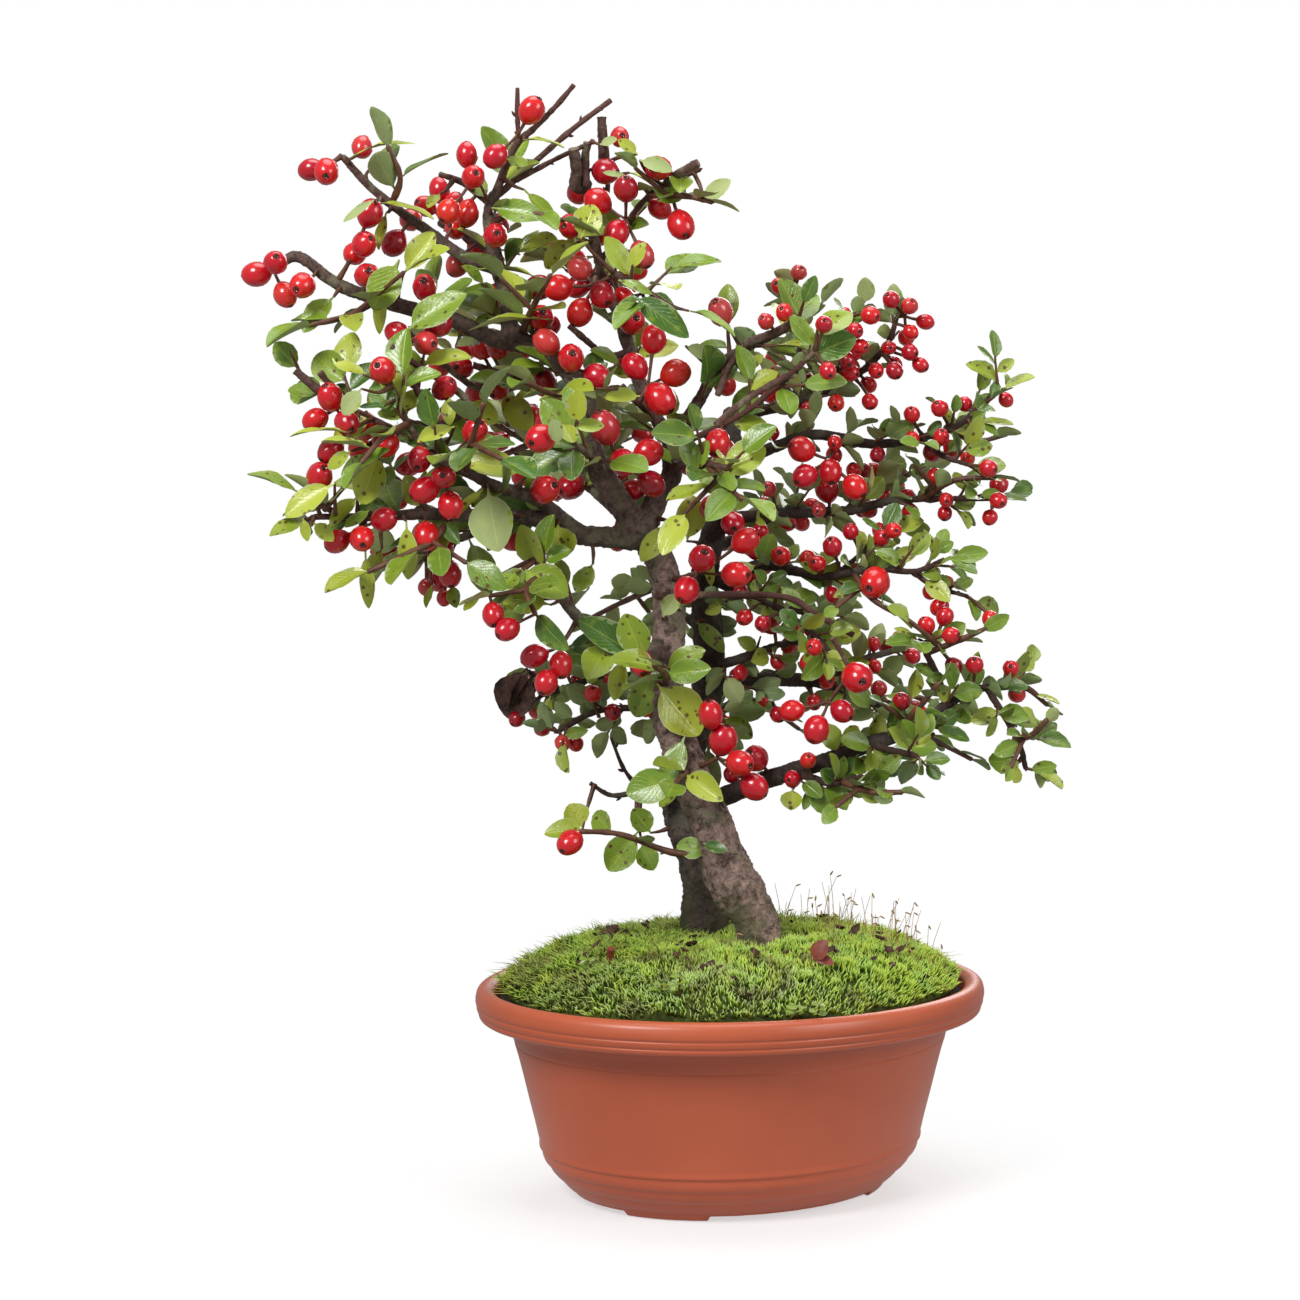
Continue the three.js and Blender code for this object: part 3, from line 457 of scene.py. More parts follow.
def simple_material(name, low, first, high, second, scale, roughness,
                    strength=0.4, distance=0.0003, specular=0.4):
    """A material that runs from one colour to another with a noise, which is its bump too."""
    make = Surface(name)
    spread = make.noise(scale, 5.0, 0.6)
    make.colour = make.ramp(spread, [(low, first), (high, second)])
    return make.done(roughness, specular, spread, strength, distance)


def moss_material(name, low, middle, tip):
    """place holds how far up its blade a point is; tint holds the draws of its tuft."""
    make = Surface(name)
    height = make.own("place")[0]
    dry, bright, frost = make.own("tint")
    make.colour = make.ramp(height, [(0.0, low), (0.5, middle), (1.0, tip)])
    make.cover(dry, (0.17, 0.14, 0.04), 0.8)
    make.cover(bright, (0.56, 0.72, 0.08), 0.65)
    make.cover(make.times(make.band(height, 0.55, 0.95), frost), (0.50, 0.58, 0.34))
    return make.done(0.6, 0.3)


def pot_material():
    make = Surface("pot_plastic")
    cloud = make.noise(22.0, 4.0)
    grain = make.noise(1400.0, 3.0)
    make.colour = make.ramp(cloud, [(0.3, (0.43, 0.086, 0.034)), (0.7, (0.49, 0.102, 0.042))])
    # Scuffs and a little dirt.
    make.cover(make.band(make.noise(340.0, 6.0, 0.75, 1.5), 0.62, 0.8), (0.56, 0.19, 0.11), 0.25)
    make.cover(make.band(make.noise(130.0, 6.0, 0.7), 0.66, 0.8), (0.20, 0.06, 0.032), 0.2)
    rough = make.node("MapRange", {"To Min": 0.3, "To Max": 0.42, "Value": cloud})
    return make.done(rough.outputs["Result"], 0.5, grain, 0.12, 0.0001)


MATERIALS = {
    "front_bark": bark_material("front_bark", (0.052, 0.033, 0.026), (0.290, 0.195, 0.160),
                                (0.25, 0.26, 0.15), (0.125, 0.036, 0.027)),
    "back_bark": bark_material("back_bark", (0.020, 0.014, 0.012), (0.085, 0.060, 0.050),
                               (0.12, 0.12, 0.09), (0.075, 0.030, 0.022)),
    "large_top": leaf_material("large_leaf_top", (0.15, 0.255, 0.020), (0.38, 0.44, 0.040),
                               (0.055, 0.135, 0.018)),
    "large_under": leaf_material("large_leaf_under", (0.27, 0.35, 0.13), (0.40, 0.44, 0.17),
                                 (0.22, 0.30, 0.12), under=True),
    "small_top": leaf_material("small_leaf_top", (0.16, 0.26, 0.026), (0.36, 0.42, 0.05),
                               (0.060, 0.14, 0.020)),
    "small_under": leaf_material("small_leaf_under", (0.26, 0.34, 0.13), (0.36, 0.42, 0.17),
                                 (0.2, 0.28, 0.12), under=True),
    "stem": simple_material("young_stem", 0.3, (0.060, 0.024, 0.014), 0.7, (0.155, 0.062, 0.032), 400.0, 0.5),
    "berry": berry_material(),
    "calyx": simple_material("dry_calyx", 0.3, (0.016, 0.008, 0.006), 0.7, (0.07, 0.035, 0.022), 900.0, 0.8),
    "pot": pot_material(),
    "soil": simple_material("soil_grains", 0.3, (0.010, 0.007, 0.005), 0.7, (0.055, 0.038, 0.025),
                            420.0, 0.95, 0.8, 0.0012, 0.2),
    "moss_bed": simple_material("moss_bed", 0.35, (0.020, 0.030, 0.006), 0.65, (0.075, 0.10, 0.018),
                                330.0, 0.95, 0.8, 0.0012, 0.2),
    "moss_turf": moss_material("moss_turf", (0.026, 0.045, 0.006), (0.20, 0.35, 0.028), (0.52, 0.72, 0.12)),
    "moss_cushion": moss_material("moss_cushion", (0.026, 0.052, 0.006), (0.22, 0.40, 0.028),
                                  (0.62, 0.82, 0.22)),
    "litter": simple_material("litter", 0.35, (0.016, 0.009, 0.007), 0.65, (0.12, 0.05, 0.03), 500.0, 0.8),
    "dead_leaf": simple_material("dead_leaf", 0.35, (0.016, 0.008, 0.007), 0.65, (0.15, 0.065, 0.048),
                                 260.0, 0.5, 1.0, 0.002),
    "red_leaf": simple_material("red_leaf", 0.3, (0.12, 0.022, 0.013), 0.7, (0.26, 0.055, 0.028), 500.0, 0.5),
    "moss_stalk": simple_material("moss_stalk", 0.3, (0.28, 0.13, 0.04), 0.7, (0.46, 0.33, 0.13), 200.0, 0.6),
}


def tube(sheets, points, radii, sides, steps, slot=0, end=1.0, lumps=0.0, seed=1, cut=0.0):
    """A closed tube along the smooth curve through some points, with a rounded or cut far end."""
    line = rings(points, steps)
    follow = draws(seed)
    corners, places = [], []
    for i, (centre, _, across, side) in enumerate(line):
        share = i / steps
        radius = radius_at(radii, share) * (1 + lumps * (follow() - 0.3))
        for k in range(sides):
            corners.append(centre + around(across, side, 2 * math.pi * k / sides) * radius)
            places.append((min(radius / THICKEST, 1), share, 0, 0))
    corners.append(line[0][0] - line[0][1] * radii[0] * 0.3)
    corners.append(line[-1][0] + line[-1][1] * radii[-1] * end)
    places += [(min(radii[0] / THICKEST, 1), 0, 0, 0), (min(radii[-1] / THICKEST, 1), 1, cut, 0)]
    faces = [tuple(reversed(face)) for face in capped_faces(steps + 1, sides)]
    sheets.add(corners, faces, [slot] * len(faces), places, [BLANK] * len(corners))


def leaf(base, along, face, length, width, arch):
    return SimpleNamespace(base=base, along=along, face=face, length=length, width=width, arch=arch)


# Blades. The longest have a longer stalk, and every one follows the arch and fold of its solid.
STALKED_FROM = 16
FINE_FROM = 12
BLADE_FOLD = 0.1
LARGE_GRID = (9, 6)
SMALL_GRID = (6, 4)


def blade_width(share, stalk):
    """The blade's width at a share of its length, as a share of its greatest width."""
    if share <= stalk:
        return 0.0
    u = (share - stalk) / (1 - stalk)
    return math.sin(math.pi * min(u, 1) ** 0.95) ** 0.62


def add_leaf(sheets, one, seed, slots=(0, 1), tint=None):
    """A thin closed blade with its stalk, a top and an underside."""
    follow = draws(seed * 131 + 17)
    length, width, along, face = one.length, one.width, one.along, one.face
    rows, columns = LARGE_GRID if length > FINE_FROM else SMALL_GRID
    stalk = 0.13 if length > STALKED_FROM else 0.09
    side = np.cross(face, along)
    wave, phase = 0.02 + 0.025 * follow(), TURN * follow()
    cup = mix(-0.05, 0.16, follow())
    twist = mix(-0.3, 0.3, follow())
    dip = mix(0.0, 0.03, follow())
    tint = tint or (follow(), follow() ** 1.3, follow(), 0)
    turns = [math.pi * (0.06 + 0.94 * i / rows) for i in range(rows + 1)]
    shares = [0, stalk * 0.5] + [stalk + (1 - stalk) * (0.5 - 0.5 * math.cos(turn)) for turn in turns]
    across = np.linspace(-1, 1, columns + 1)
    top, under, places = [], [], []
    for share in shares:
        w = blade_width(share, stalk)
        half = max(w * width / 2, 0.32 if share <= stalk * 1.2 else 0.05)
        for s in across:
            edge = abs(s)
            lift = -one.arch * length * share ** 2 + edge * BLADE_FOLD * w * width
            lift += cup * w * width * s * s + twist * half * s * share * 0.6
            lift += wave * length * w * edge ** 2 * math.sin(phase + 8 * share + 2.5 * s)
            lift -= dip * width * (1 - edge) ** 2 * w
            thick = 0.26 if share <= stalk else 0.09 + 0.1 * (1 - edge) ** 4
            middle = one.base + along * (length * share) + side * (s * half)
            top.append(middle + face * (lift + thick))
            under.append(middle + face * (lift - thick))
            places.append(((s + 1) / 2, share, 0, 0))
    # The underside has corners of its own only inside the rim, so top and underside close along it.
    wide, last_row = columns + 1, len(shares) - 1
    corners, kept_places, own = list(top), list(places), {}
    for r in range(1, last_row):
        for c in range(1, columns):
            own[r * wide + c] = len(corners)
            corners.append(under[r * wide + c])
            kept_places.append(places[r * wide + c])
    faces, kinds = [], []
    for quad in grid_faces(len(shares), wide):
        faces.append(tuple(reversed(quad)))
        kinds.append(slots[0])
        below = tuple(own.get(i, i) for i in quad)
        if below != quad:
            faces.append(below)
            kinds.append(slots[1])
    sheets.add(corners, faces, kinds, kept_places, [tint] * len(corners))


# Stations along a berry, from its middle and by its length, and its radius there.
BERRY_STATIONS = (-0.5, -0.47, -0.4, -0.28, -0.12, 0.05, 0.2, 0.33, 0.42, 0.475, 0.5, 0.492, 0.46, 0.43)
BERRY_RADII = (0.0, 0.1, 0.215, 0.33, 0.415, 0.432, 0.405, 0.34, 0.262, 0.19, 0.135, 0.1, 0.07, 0.0)
SEPALS = 5


def add_berry(sheets, middle, axis, length, seed, plump=1.0, wrinkle=0.0, ripe=None, sides=16):
    """A berry with its stalk end and the pit and dry star of its far end."""
    follow = draws(seed * 97 + 31)
    helper = UP if abs(axis[2]) < 0.9 else np.array([1.0, 0, 0])
    first = unit(np.cross(axis, helper))
    second = np.cross(axis, first)
    ripe = mix(0.12, 0.75, follow()) if ripe is None else ripe
    tint = (ripe, follow(), 0, 0)
    squash, lean = mix(0.94, 1.05, follow()), TURN * follow()
    corners, places = [], []
    inner = range(1, len(BERRY_STATIONS) - 1)
    for i in inner:
        for k in range(sides):
            angle = 2 * math.pi * k / sides
            uneven = 1 + 0.03 * math.cos(angle - lean) + 0.015 * math.cos(5 * angle)
            radius = BERRY_RADII[i] * length * plump * uneven
            radius *= 1 + wrinkle * math.sin(angle * 4 + i * 1.3) * (0.4 + 0.6 * follow())
            across = first * math.cos(angle) * squash + second * math.sin(angle) / squash
            corners.append(middle + axis * (BERRY_STATIONS[i] * length) + across * radius)
            places.append((i / (len(BERRY_STATIONS) - 1), 0, 0, 0))
    corners += [middle + axis * (BERRY_STATIONS[0] * length), middle + axis * (BERRY_STATIONS[-1] * length)]
    places += [BLANK, (1, 0, 0, 0)]
    faces = [tuple(reversed(face)) for face in capped_faces(len(inner), sides)]
    sheets.add(corners, faces, [0] * len(faces), places, [tint] * len(corners))
    for s in range(SEPALS):
        angle = 2 * math.pi * (s + 0.3 * follow()) / SEPALS
        out = around(first, second, angle)
        turn = -first * math.sin(angle) + second * math.cos(angle)
        foot = middle + axis * (0.47 * length)
        radius = 0.19 * length
        left, right = (foot + out * radius * 0.85 + turn * (hand * radius * 0.5) for hand in (-1, 1))
        rise = mix(0.015, 0.05, follow())
        tip = foot + axis * ((0.03 + rise) * length) + out * radius * mix(0.1, 0.3, follow())
        sunk = foot + out * radius * 0.55 - axis * (0.03 * length)
        sheets.add([left, right, tip, sunk], [(0, 1, 2), (0, 3, 1), (1, 3, 2), (2, 3, 0)], [1] * 4,
                   [(1, 0, 0, 0)] * 4, [tint] * 4)


# Limbs and shoots of both trees
FRONT_LIMBS = [
    limb([6.5, 7.2, 7, 8.2, 8, 6.9, 6.4, 6.2, 6, 6, 5.7, 5.4, 5.2, 5, 4.8, 4.6], [[15, 58, -20],
        [11, 74, -19], [8, 88, -17], [3, 97, -16], [-2, 106, -15], [-5, 115, -14], [-8.5, 125, -13],
        [-12, 131, -12], [-15, 140, -10], [-18, 148, -8], [-20.5, 155, -7], [-22, 168, -5],
        [-21, 185, -2], [-22, 200, -1], [-25, 210, 0], [-31, 218, 0]], 8, leafy=0),
    limb([4.2, 3.4, 2.8], [[-30, 216, 0], [-25, 228, 2], [-20, 236, 3], [-20, 245, 4], [-18, 251, 5]]),
    limb([2.6, 2.4, 2.1, 1.6, 1.1], [[-20, 246, 4], [-27, 258, 6], [-32, 270, 8], [-37, 287, 10],
        [-43, 303, 10], [-46, 316, 10], [-48, 330, 9], [-48, 343, 8]]),
    limb([1.3, 1, 0.8], [[-43, 306, 10], [-36, 315, 4], [-32, 322, -2], [-24, 330, -5],
        [-11, 335.5, -10]]),
    limb([0.9, 0.7], [[-45, 313, 10], [-41, 330, 14], [-42, 350, 16]], leafy=0),
    limb([2.2, 1.8, 1.2], [[-18, 249, 5], [-10, 262, -2], [-6, 270, -6], [0, 275, -8], [10, 280, -10],
        [21, 285, -12]]),
    limb([1.1, 0.8], [[-17, 246, 4], [-8, 250, -8], [5, 257, -15], [18, 268, -20], [27, 276, -24]]),
    limb([1, 0.8], [[-20, 244, 3], [-28, 256, -10], [-37, 264, -20]]),
    limb([4.4, 4, 3.4, 3], [[-30, 216, 0], [-38, 228, -3], [-44, 238, -4], [-48, 250, -4], [-49, 262, -3],
        [-56, 272, -2], [-68, 279, 0], [-74, 285, 1]]),
    limb([2.9, 2.4, 2], [[-73, 284, 1], [-75, 295, 2], [-78, 308, 3], [-80, 320, 4], [-78, 328, 4]]),
    limb([1.6, 1, 0.8], [[-79, 324, 4], [-72, 342, 0], [-65, 349, -3], [-58, 356, -5], [-52, 363, -7]],
        leafy=0),
    limb([1.1, 0.9], [[-78, 326, 4], [-66, 337, 10], [-52, 349, 15], [-40, 358, 18]], leafy=0),
    limb([0.9, 0.7], [[-71, 332, 7], [-58, 339, 4], [-46, 344.5, 2]], leafy=0),
    limb([0.9, 0.7], [[-70, 344, -1], [-70.5, 352, -1], [-70.5, 362, -2]], leafy=0),
    limb([1.2, 0.9], [[-79, 324, 4], [-88, 331, 8], [-96, 334, 12]], leafy=0),
    limb([2.2, 1.7, 1.3], [[-77, 303, 3], [-88, 307, 2], [-102, 317, 0], [-113, 325, -2], [-120, 331, -3],
        [-128, 340, -4]]),
    limb([2.8, 2.6, 2.1, 1.8], [[-67, 278, 0], [-80, 281, -2], [-90, 286, -4], [-105, 290, -5],
        [-122, 295, -6], [-131, 299, -6], [-142, 307, -7], [-149, 305, -7]]),
    limb([3.8, 3.2, 2.4, 1.8, 1.1], [[-29, 215, 0], [-50, 216, -6], [-62, 221, -10], [-80, 222, -16],
        [-100, 223, -20], [-118, 222, -23], [-138, 222, -25]]),
    limb([2.4, 2, 1.4, 1], [[-50, 217, -6], [-65, 228, -16], [-78, 232, -22], [-90, 238, -26],
        [-100, 243, -28], [-108, 255, -30], [-112, 265, -31]]),
    limb([1, 0.8], [[-90, 238, -26], [-98, 250, -20], [-104, 264, -16], [-111, 277, -14]]),
    limb([1, 0.8], [[-101, 244, -28], [-114, 252, -24], [-128, 259, -22], [-142, 269, -20]]),
    limb([2.8, 2, 1.3], [[-22, 175, -4], [-35, 180, -9], [-45, 183, -14], [-53, 191, -18],
        [-60, 200, -20], [-66, 210, -19]]),
    limb([2.6, 2, 1.3], [[-31, 217, 0], [-40, 226, 18], [-52, 236, 34], [-66, 246, 48], [-80, 254, 56]]),
    limb([1.8, 1.1], [[-38, 290, 10], [-46, 297, 24], [-55, 305, 36]]),
    limb([2.2, 1.7, 1.2], [[-49, 257, -3], [-60, 262, 12], [-74, 268, 28], [-92, 274, 42]]),
    limb([2, 1.4, 1], [[-70, 222, -12], [-84, 217, 4], [-98, 212, 20], [-106, 209, 30]]),
    limb([2, 1.3, 0.9], [[-43, 237, -4], [-46, 241, -24], [-53, 247, -44]]),
    limb([1.6, 1], [[-21, 238, 3], [-12, 240, -16], [-2, 238, -34]]),
    limb([1.8, 1.2], [[-74, 268, 28], [-80, 280, 40], [-84, 294, 50]]),
    limb([1.8, 1.1], [[-40, 226, 18], [-40, 238, 36], [-36, 250, 50]]),
    limb([1.5, 1], [[-78, 308, 3], [-86, 313, 18], [-96, 318, 30]]),
    limb([1.5, 1], [[-43, 303, 10], [-36, 300, -12], [-28, 296, -28]]),
    limb([1.5, 1], [[-100, 223, -20], [-108, 232, -2], [-116, 238, 12]]),
]

BACK_LIMBS = [
    limb([7.4, 7.8, 7.8, 7.2, 6.8, 6.4, 6, 5.6, 5.2, 4.8, 4.2, 3.6, 2.6], [[-9, 58, 8], [-9, 74, 8],
        [-9, 88, 8], [-9, 100, 9], [-12, 112, 11], [-16, 124, 14], [-17, 136, 17], [-13, 150, 20],
        [-8, 166, 22], [-8, 184, 24], [-9, 202, 26], [-5, 222, 28], [0, 240, 30], [-1, 257, 32]], 10,
        leafy=0),
    limb([3.4, 3, 2.6, 2, 1.2], [[-16, 124, 14], [-4, 129, 8], [8, 134, 2], [20, 138, -4], [33, 142, -8],
        [45, 147, -10], [55, 150, -10], [65, 155, -8], [72, 161, -6], [80, 165, -4], [92, 166.5, 0]]),
    limb([1.5, 1], [[20, 138, -4], [32, 134, -14], [43, 136, -22]]),
    limb([1.3, 0.9], [[45, 147, -10], [52, 145, -19], [61, 143, -27]]),
    limb([1.1, 0.8], [[84, 165.5, -3], [90, 156, -6], [95, 147, -8], [97, 139, -9]]),
    limb([1.2, 0.9], [[71, 161, -6], [67, 171, -10], [62, 181, -13]]),
    limb([3, 2.4, 1.8, 1.2], [[-8, 165, 22], [5, 168, 26], [25, 168, 31], [36, 165, 35], [46, 161, 39],
        [57, 154, 42]]),
    limb([2, 1.4, 1], [[-8, 172, 23], [5, 176, 12], [16, 180, 5], [29, 181, -2]]),
    limb([2.4, 1.8, 1.3, 1], [[-9, 200, 26], [10, 206, 12], [21, 204, 4], [32, 202.5, 0], [47, 205, -5],
        [60, 204, -8], [70, 208, -10]]),
    limb([0.9, 0.7], [[34, 203, -1], [44, 211, 4], [51, 217, 8]]),
    limb([0.9, 0.7], [[59, 204, -8], [67, 199, -4], [77, 196, -2]]),
    limb([1, 0.8], [[-8, 190, 24], [4, 196, 6], [18, 190, -6], [30, 180, -12], [37, 168, -15]]),
    limb([2.4, 1.8, 1.4, 1], [[-5, 221, 28], [15, 223, 22], [38, 224, 16], [51, 227, 12], [66, 228, 8],
        [85, 228, 4]]),
    limb([2.2, 1.8, 1.4, 1], [[0, 239, 30], [14, 245, 26], [28, 249, 20], [45, 246, 15], [57, 247, 12],
        [72, 251, 8], [80, 257, 6], [87, 264, 5]]),
    limb([0.9, 0.7], [[62, 248, 11], [69, 242, 2], [78, 239, -4]]),
    limb([2.2, 1.8, 1.3, 1], [[-1, 254, 32], [10, 257, 30], [20, 259, 28], [28, 262, 26], [38, 267, 24],
        [45, 272, 22], [51, 279, 21], [54, 288, 20]]),
    limb([1, 0.8], [[20, 259, 28], [22, 275, 30], [20, 296, 30]]),
    limb([0.9, 0.7], [[33, 264, 25], [35, 276, 16], [38, 287, 12]]),
    limb([1, 0.7], [[-16, 130, 16], [-30, 131, 14], [-40, 130, 12], [-47, 134, 10]], leafy=0),
    limb([0.8, 0.6], [[-30, 131, 14], [-36, 139, 12], [-40, 149, 10]], leafy=0),
    limb([2, 1.4, 0.9], [[-12, 158, 21], [-25, 167, 26], [-40, 170, 30], [-54, 166, 32], [-63, 163, 33]]),
    limb([1.6, 1.1, 0.8], [[-14, 150, 20], [-28, 158, 18], [-44, 158, 16], [-58, 151, 14]]),
    limb([2.6, 1.8, 1.1], [[-14, 146, 19], [-10, 152, 36], [-5, 158, 52], [5, 163, 66]]),
    limb([2.2, 1.5, 1], [[-8, 184, 24], [-18, 191, 40], [-28, 199, 56]]),
    limb([2.2, 1.5, 1], [[-7, 211, 27], [6, 218, 44], [20, 225, 60]]),
    limb([1.8, 1.2], [[28, 168, 31], [40, 174, 44], [54, 178, 56]]),
    limb([1.6, 1], [[20, 259, 28], [16, 266, 46], [10, 270, 60]]),
    limb([1.6, 1], [[38, 224, 16], [46, 232, 34], [58, 236, 48]]),
    limb([1.5, 1], [[-9, 202, 26], [16, 192, 42], [34, 190, 58]]),
]


def shoot(shortest, longest, *stems):
    """A leafy shoot: how long its leaves are, and its stems as seen."""
    return SimpleNamespace(leaf_range=(shortest, longest), stems=stems)


FRONT_SHOOTS = [
    shoot(9, 14, [[-6, 110, -16], [-20, 111, -24], [-37, 117, -28], [-50, 118, -30]]),
    shoot(13, 18, [[-14, 138, -12], [-16, 137, -24], [-19, 134, -34]]),
    shoot(15, 21, [[-21, 166, -5], [-22, 170, -20], [-26, 173, -32]]),
    shoot(12, 17, [[-62, 204, -20], [-68, 198, -32], [-65, 190, -40]], [[-68, 198, -32],
        [-80, 196, -36]]),
    shoot(14, 20, [[-92, 223, -19], [-99, 214, -30], [-111, 208, -34], [-120, 204, -34]],
        [[-99, 214, -30], [-88, 207, -40]]),
    shoot(12, 19, [[-128, 222, -24], [-136, 226, -30], [-143, 230, -32]], [[-134, 225, -28],
        [-126, 234, -36]]),
    shoot(11, 17, [[-106, 253, -30], [-115, 248, -40], [-122, 240, -45]]),
    shoot(13, 20, [[-88, 237, -25], [-86, 246, -40], [-82, 259, -50]], [[-86, 246, -40],
        [-76, 241, -52]]),
    shoot(12, 18, [[-51, 265, -3], [-58, 262, -18], [-68, 266, -32]]),
    shoot(14, 22, [[-70, 281, 0], [-66, 290, -14], [-60, 301, -22]], [[-66, 290, -14], [-76, 300, -20]]),
    shoot(12, 19, [[-116, 294, -6], [-126, 288, -16], [-138, 285, -22]], [[-122, 290, -12],
        [-108, 302, -24]]),
    shoot(14, 19, [[-112, 324, -2], [-109, 333, -8], [-113, 343, -12]]),
    shoot(11, 16, [[-80, 318, 4], [-70, 322, -8], [-56, 319, -14]]),
    shoot(10, 15, [[-27, 327, -4], [-16, 327, -14], [-7, 325, -18]], [[-22, 327, -9], [-32, 336, -16]]),
    shoot(13, 19, [[-8, 240, -22], [-2, 232, -32], [3, 228, -42]], [[-4, 235, -28], [-16, 223, -38]]),
    shoot(13, 19, [[-66, 246, 48], [-76, 242, 60], [-86, 237, 68]], [[-72, 243, 55], [-62, 234, 66]]),
    shoot(12, 18, [[-88, 273, 39], [-98, 277, 50], [-106, 281, 60]]),
    shoot(12, 17, [[-46, 297, 24], [-44, 308, 38], [-48, 316, 46]]),
]

BACK_SHOOTS = [
    shoot(8, 11, [[55, 150, -10], [61, 158, -20], [68, 167, -26]], [[58, 154, -15], [50, 160, -24]]),
    shoot(7, 11, [[84, 165, -3], [96, 166, 4], [104, 160, 8]], [[93, 166, 2], [98, 174, 8]]),
    shoot(7, 10, [[94, 149, -8], [99, 150, -16], [104, 155, -20]], [[97, 149, -12], [92, 139, -20]]),
    shoot(8, 11, [[36, 134.5, -17], [46, 131, -28], [56, 131, -34]], [[42, 132, -24], [34, 126, -32]]),
    shoot(8, 11, [[61, 153, -9], [70, 147, 0], [79, 142, 6]], [[66, 150, -4], [60, 141, 6]]),
    shoot(8, 11, [[46, 161, 39], [58, 163, 48], [70, 160, 54]], [[52, 162, 44], [46, 152, 54]]),
    shoot(8, 11, [[64, 177, -12], [74, 181, -18], [83, 185, -22]], [[69, 179, -15], [58, 188, -22]]),
    shoot(8, 11, [[40, 203.5, -3], [45, 196, -12], [54, 190, -18]], [[43, 199, -8], [34, 192, -18]]),
    shoot(8, 11, [[62, 228, 9], [73, 234, 2], [86, 235, -2]], [[67, 231, 6], [60, 239, -4]]),
    shoot(8, 11, [[70, 250.5, 8], [80, 247, 16], [90, 249, 22]], [[75, 249, 12], [68, 258, 22]]),
    shoot(8, 11, [[26, 261, 26], [30, 270, 40], [38, 279, 46]], [[28, 266, 34], [16, 274, 42]]),
    shoot(8, 12, [[-40, 170, 30], [-52, 174, 38], [-66, 170, 44]], [[-46, 172, 34], [-44, 182, 44]]),
    shoot(8, 12, [[2, 161, 62], [12, 159, 74], [22, 152, 80]], [[8, 160, 70], [-4, 154, 80]]),
    shoot(8, 12, [[-27, 198, 54], [-36, 194, 66], [-46, 189, 74]], [[-32, 196, 60], [-24, 186, 70]]),
    shoot(8, 12, [[19, 224, 58], [30, 222, 68], [40, 215, 74]], [[26, 223, 64], [18, 234, 74]]),
]

FRONT_BUNCHES = [
    [[-66, 354.5, -10, 10], [-77.5, 340, -8, 9]],
    [[-87, 340, 0, 9], [-85, 333, -8, 9], [-93, 322, -6, 9]],
    [[-133, 335, -12, 10], [-138, 335.5, -4, 9]],
    [[-119, 321, -12, 10], [-121, 311, -14, 9.5], [-124, 308, -6, 9]],
    [[-156, 301.5, -10, 10], [-147, 295, -12, 9], [-150, 305, -16, 9]],
    [[-97, 285, -16, 9.5], [-110, 282, -14, 9], [-101, 279, -22, 9]],
    [[-132, 261, -28, 10], [-137, 254, -24, 9], [-127, 253, -32, 9.5]],
    [[-122, 215, -36, 9.5], [-115, 221, -32, 9], [-130, 214, -32, 9]],
    [[-101, 231, -34, 10.5], [-93, 226, -34, 9.5], [-95, 235, -40, 9]],
    [[-57, 173, -26, 9.5], [-65, 176, -24, 9.5], [-61, 168, -30, 9]],
    [[-3, 148, -22, 11], [-7, 156, -24, 10], [2, 141, -26, 10], [7, 133, -24, 10]],
    [[-24, 261, -14, 12], [-19, 269, -10, 10.5], [-32, 271, -10, 10], [-26, 280, -8, 10]],
    [[-42, 251, -24, 12], [-36, 240, -22, 10.5], [-28, 243, -18, 10], [-27, 233, -16, 10]],
    [[-53, 274, -18, 10.5], [-61, 279, -14, 10], [-45, 268, -16, 10]],
    [[-49, 290, -6, 10], [-44, 294, -8, 10], [-50, 303, 0, 9.5], [-57, 297, -8, 10]],
    [[-38, 315, -6, 10], [-44, 325, -2, 10], [-35, 329, -12, 9.5], [-30, 308, -8, 10]],
    [[1, 203, -22, 10.5], [-10, 208, -20, 10.5], [-15, 198, -18, 10], [4, 214, -18, 10]],
    [[-84, 262, 46, 10], [-92, 254, 52, 9.5], [-80, 246, 62, 10]],
]

BACK_BUNCHES = [
    [[28, 152, -24, 10], [20, 158, -20, 8.5], [36, 158, -22, 8.5]],
    [[23, 244, 6, 10], [24, 235.5, 4, 9.5], [32, 237, 8, 9.5], [40, 232, 4, 9.5]],
    [[70, 189, -24, 6.5], [64, 186, -26, 6.5], [73, 173, -20, 6.5]],
    [[58, 291, 14, 6.5], [52, 293, 12, 6.5], [63, 286, 20, 6.5], [57, 281, 26, 6.5]],
]

ALL_LIMBS = FRONT_LIMBS + BACK_LIMBS
CROWN_CENTRE = seen([-25, 215, 5])
LEAF_TRIES = 5
TIP_INSET = 1.2
MATCH_GAP = 0.06 * MM
BERRY_SPACING = 0.92
FORK_SHARE = 0.55
DEPTH_TRIES = (0, 4, -4, 8, -8, 12, -12, 16, -16, 20, -20)


def tree_of(points):
    """A search tree that finds the nearest of some points."""
    tree = kdtree.KDTree(len(points))
    for i, point in enumerate(points):
        tree.insert(Vector(point), i)
    tree.balance()
    return tree


def corner_tree(name):
    """The corners of a solid, to find whether a form is part of it."""
    return tree_of([corner.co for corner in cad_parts[name].data.vertices])


def is_corner(tree, point):
    return tree.find(Vector(metres(point)))[2] < MATCH_GAP


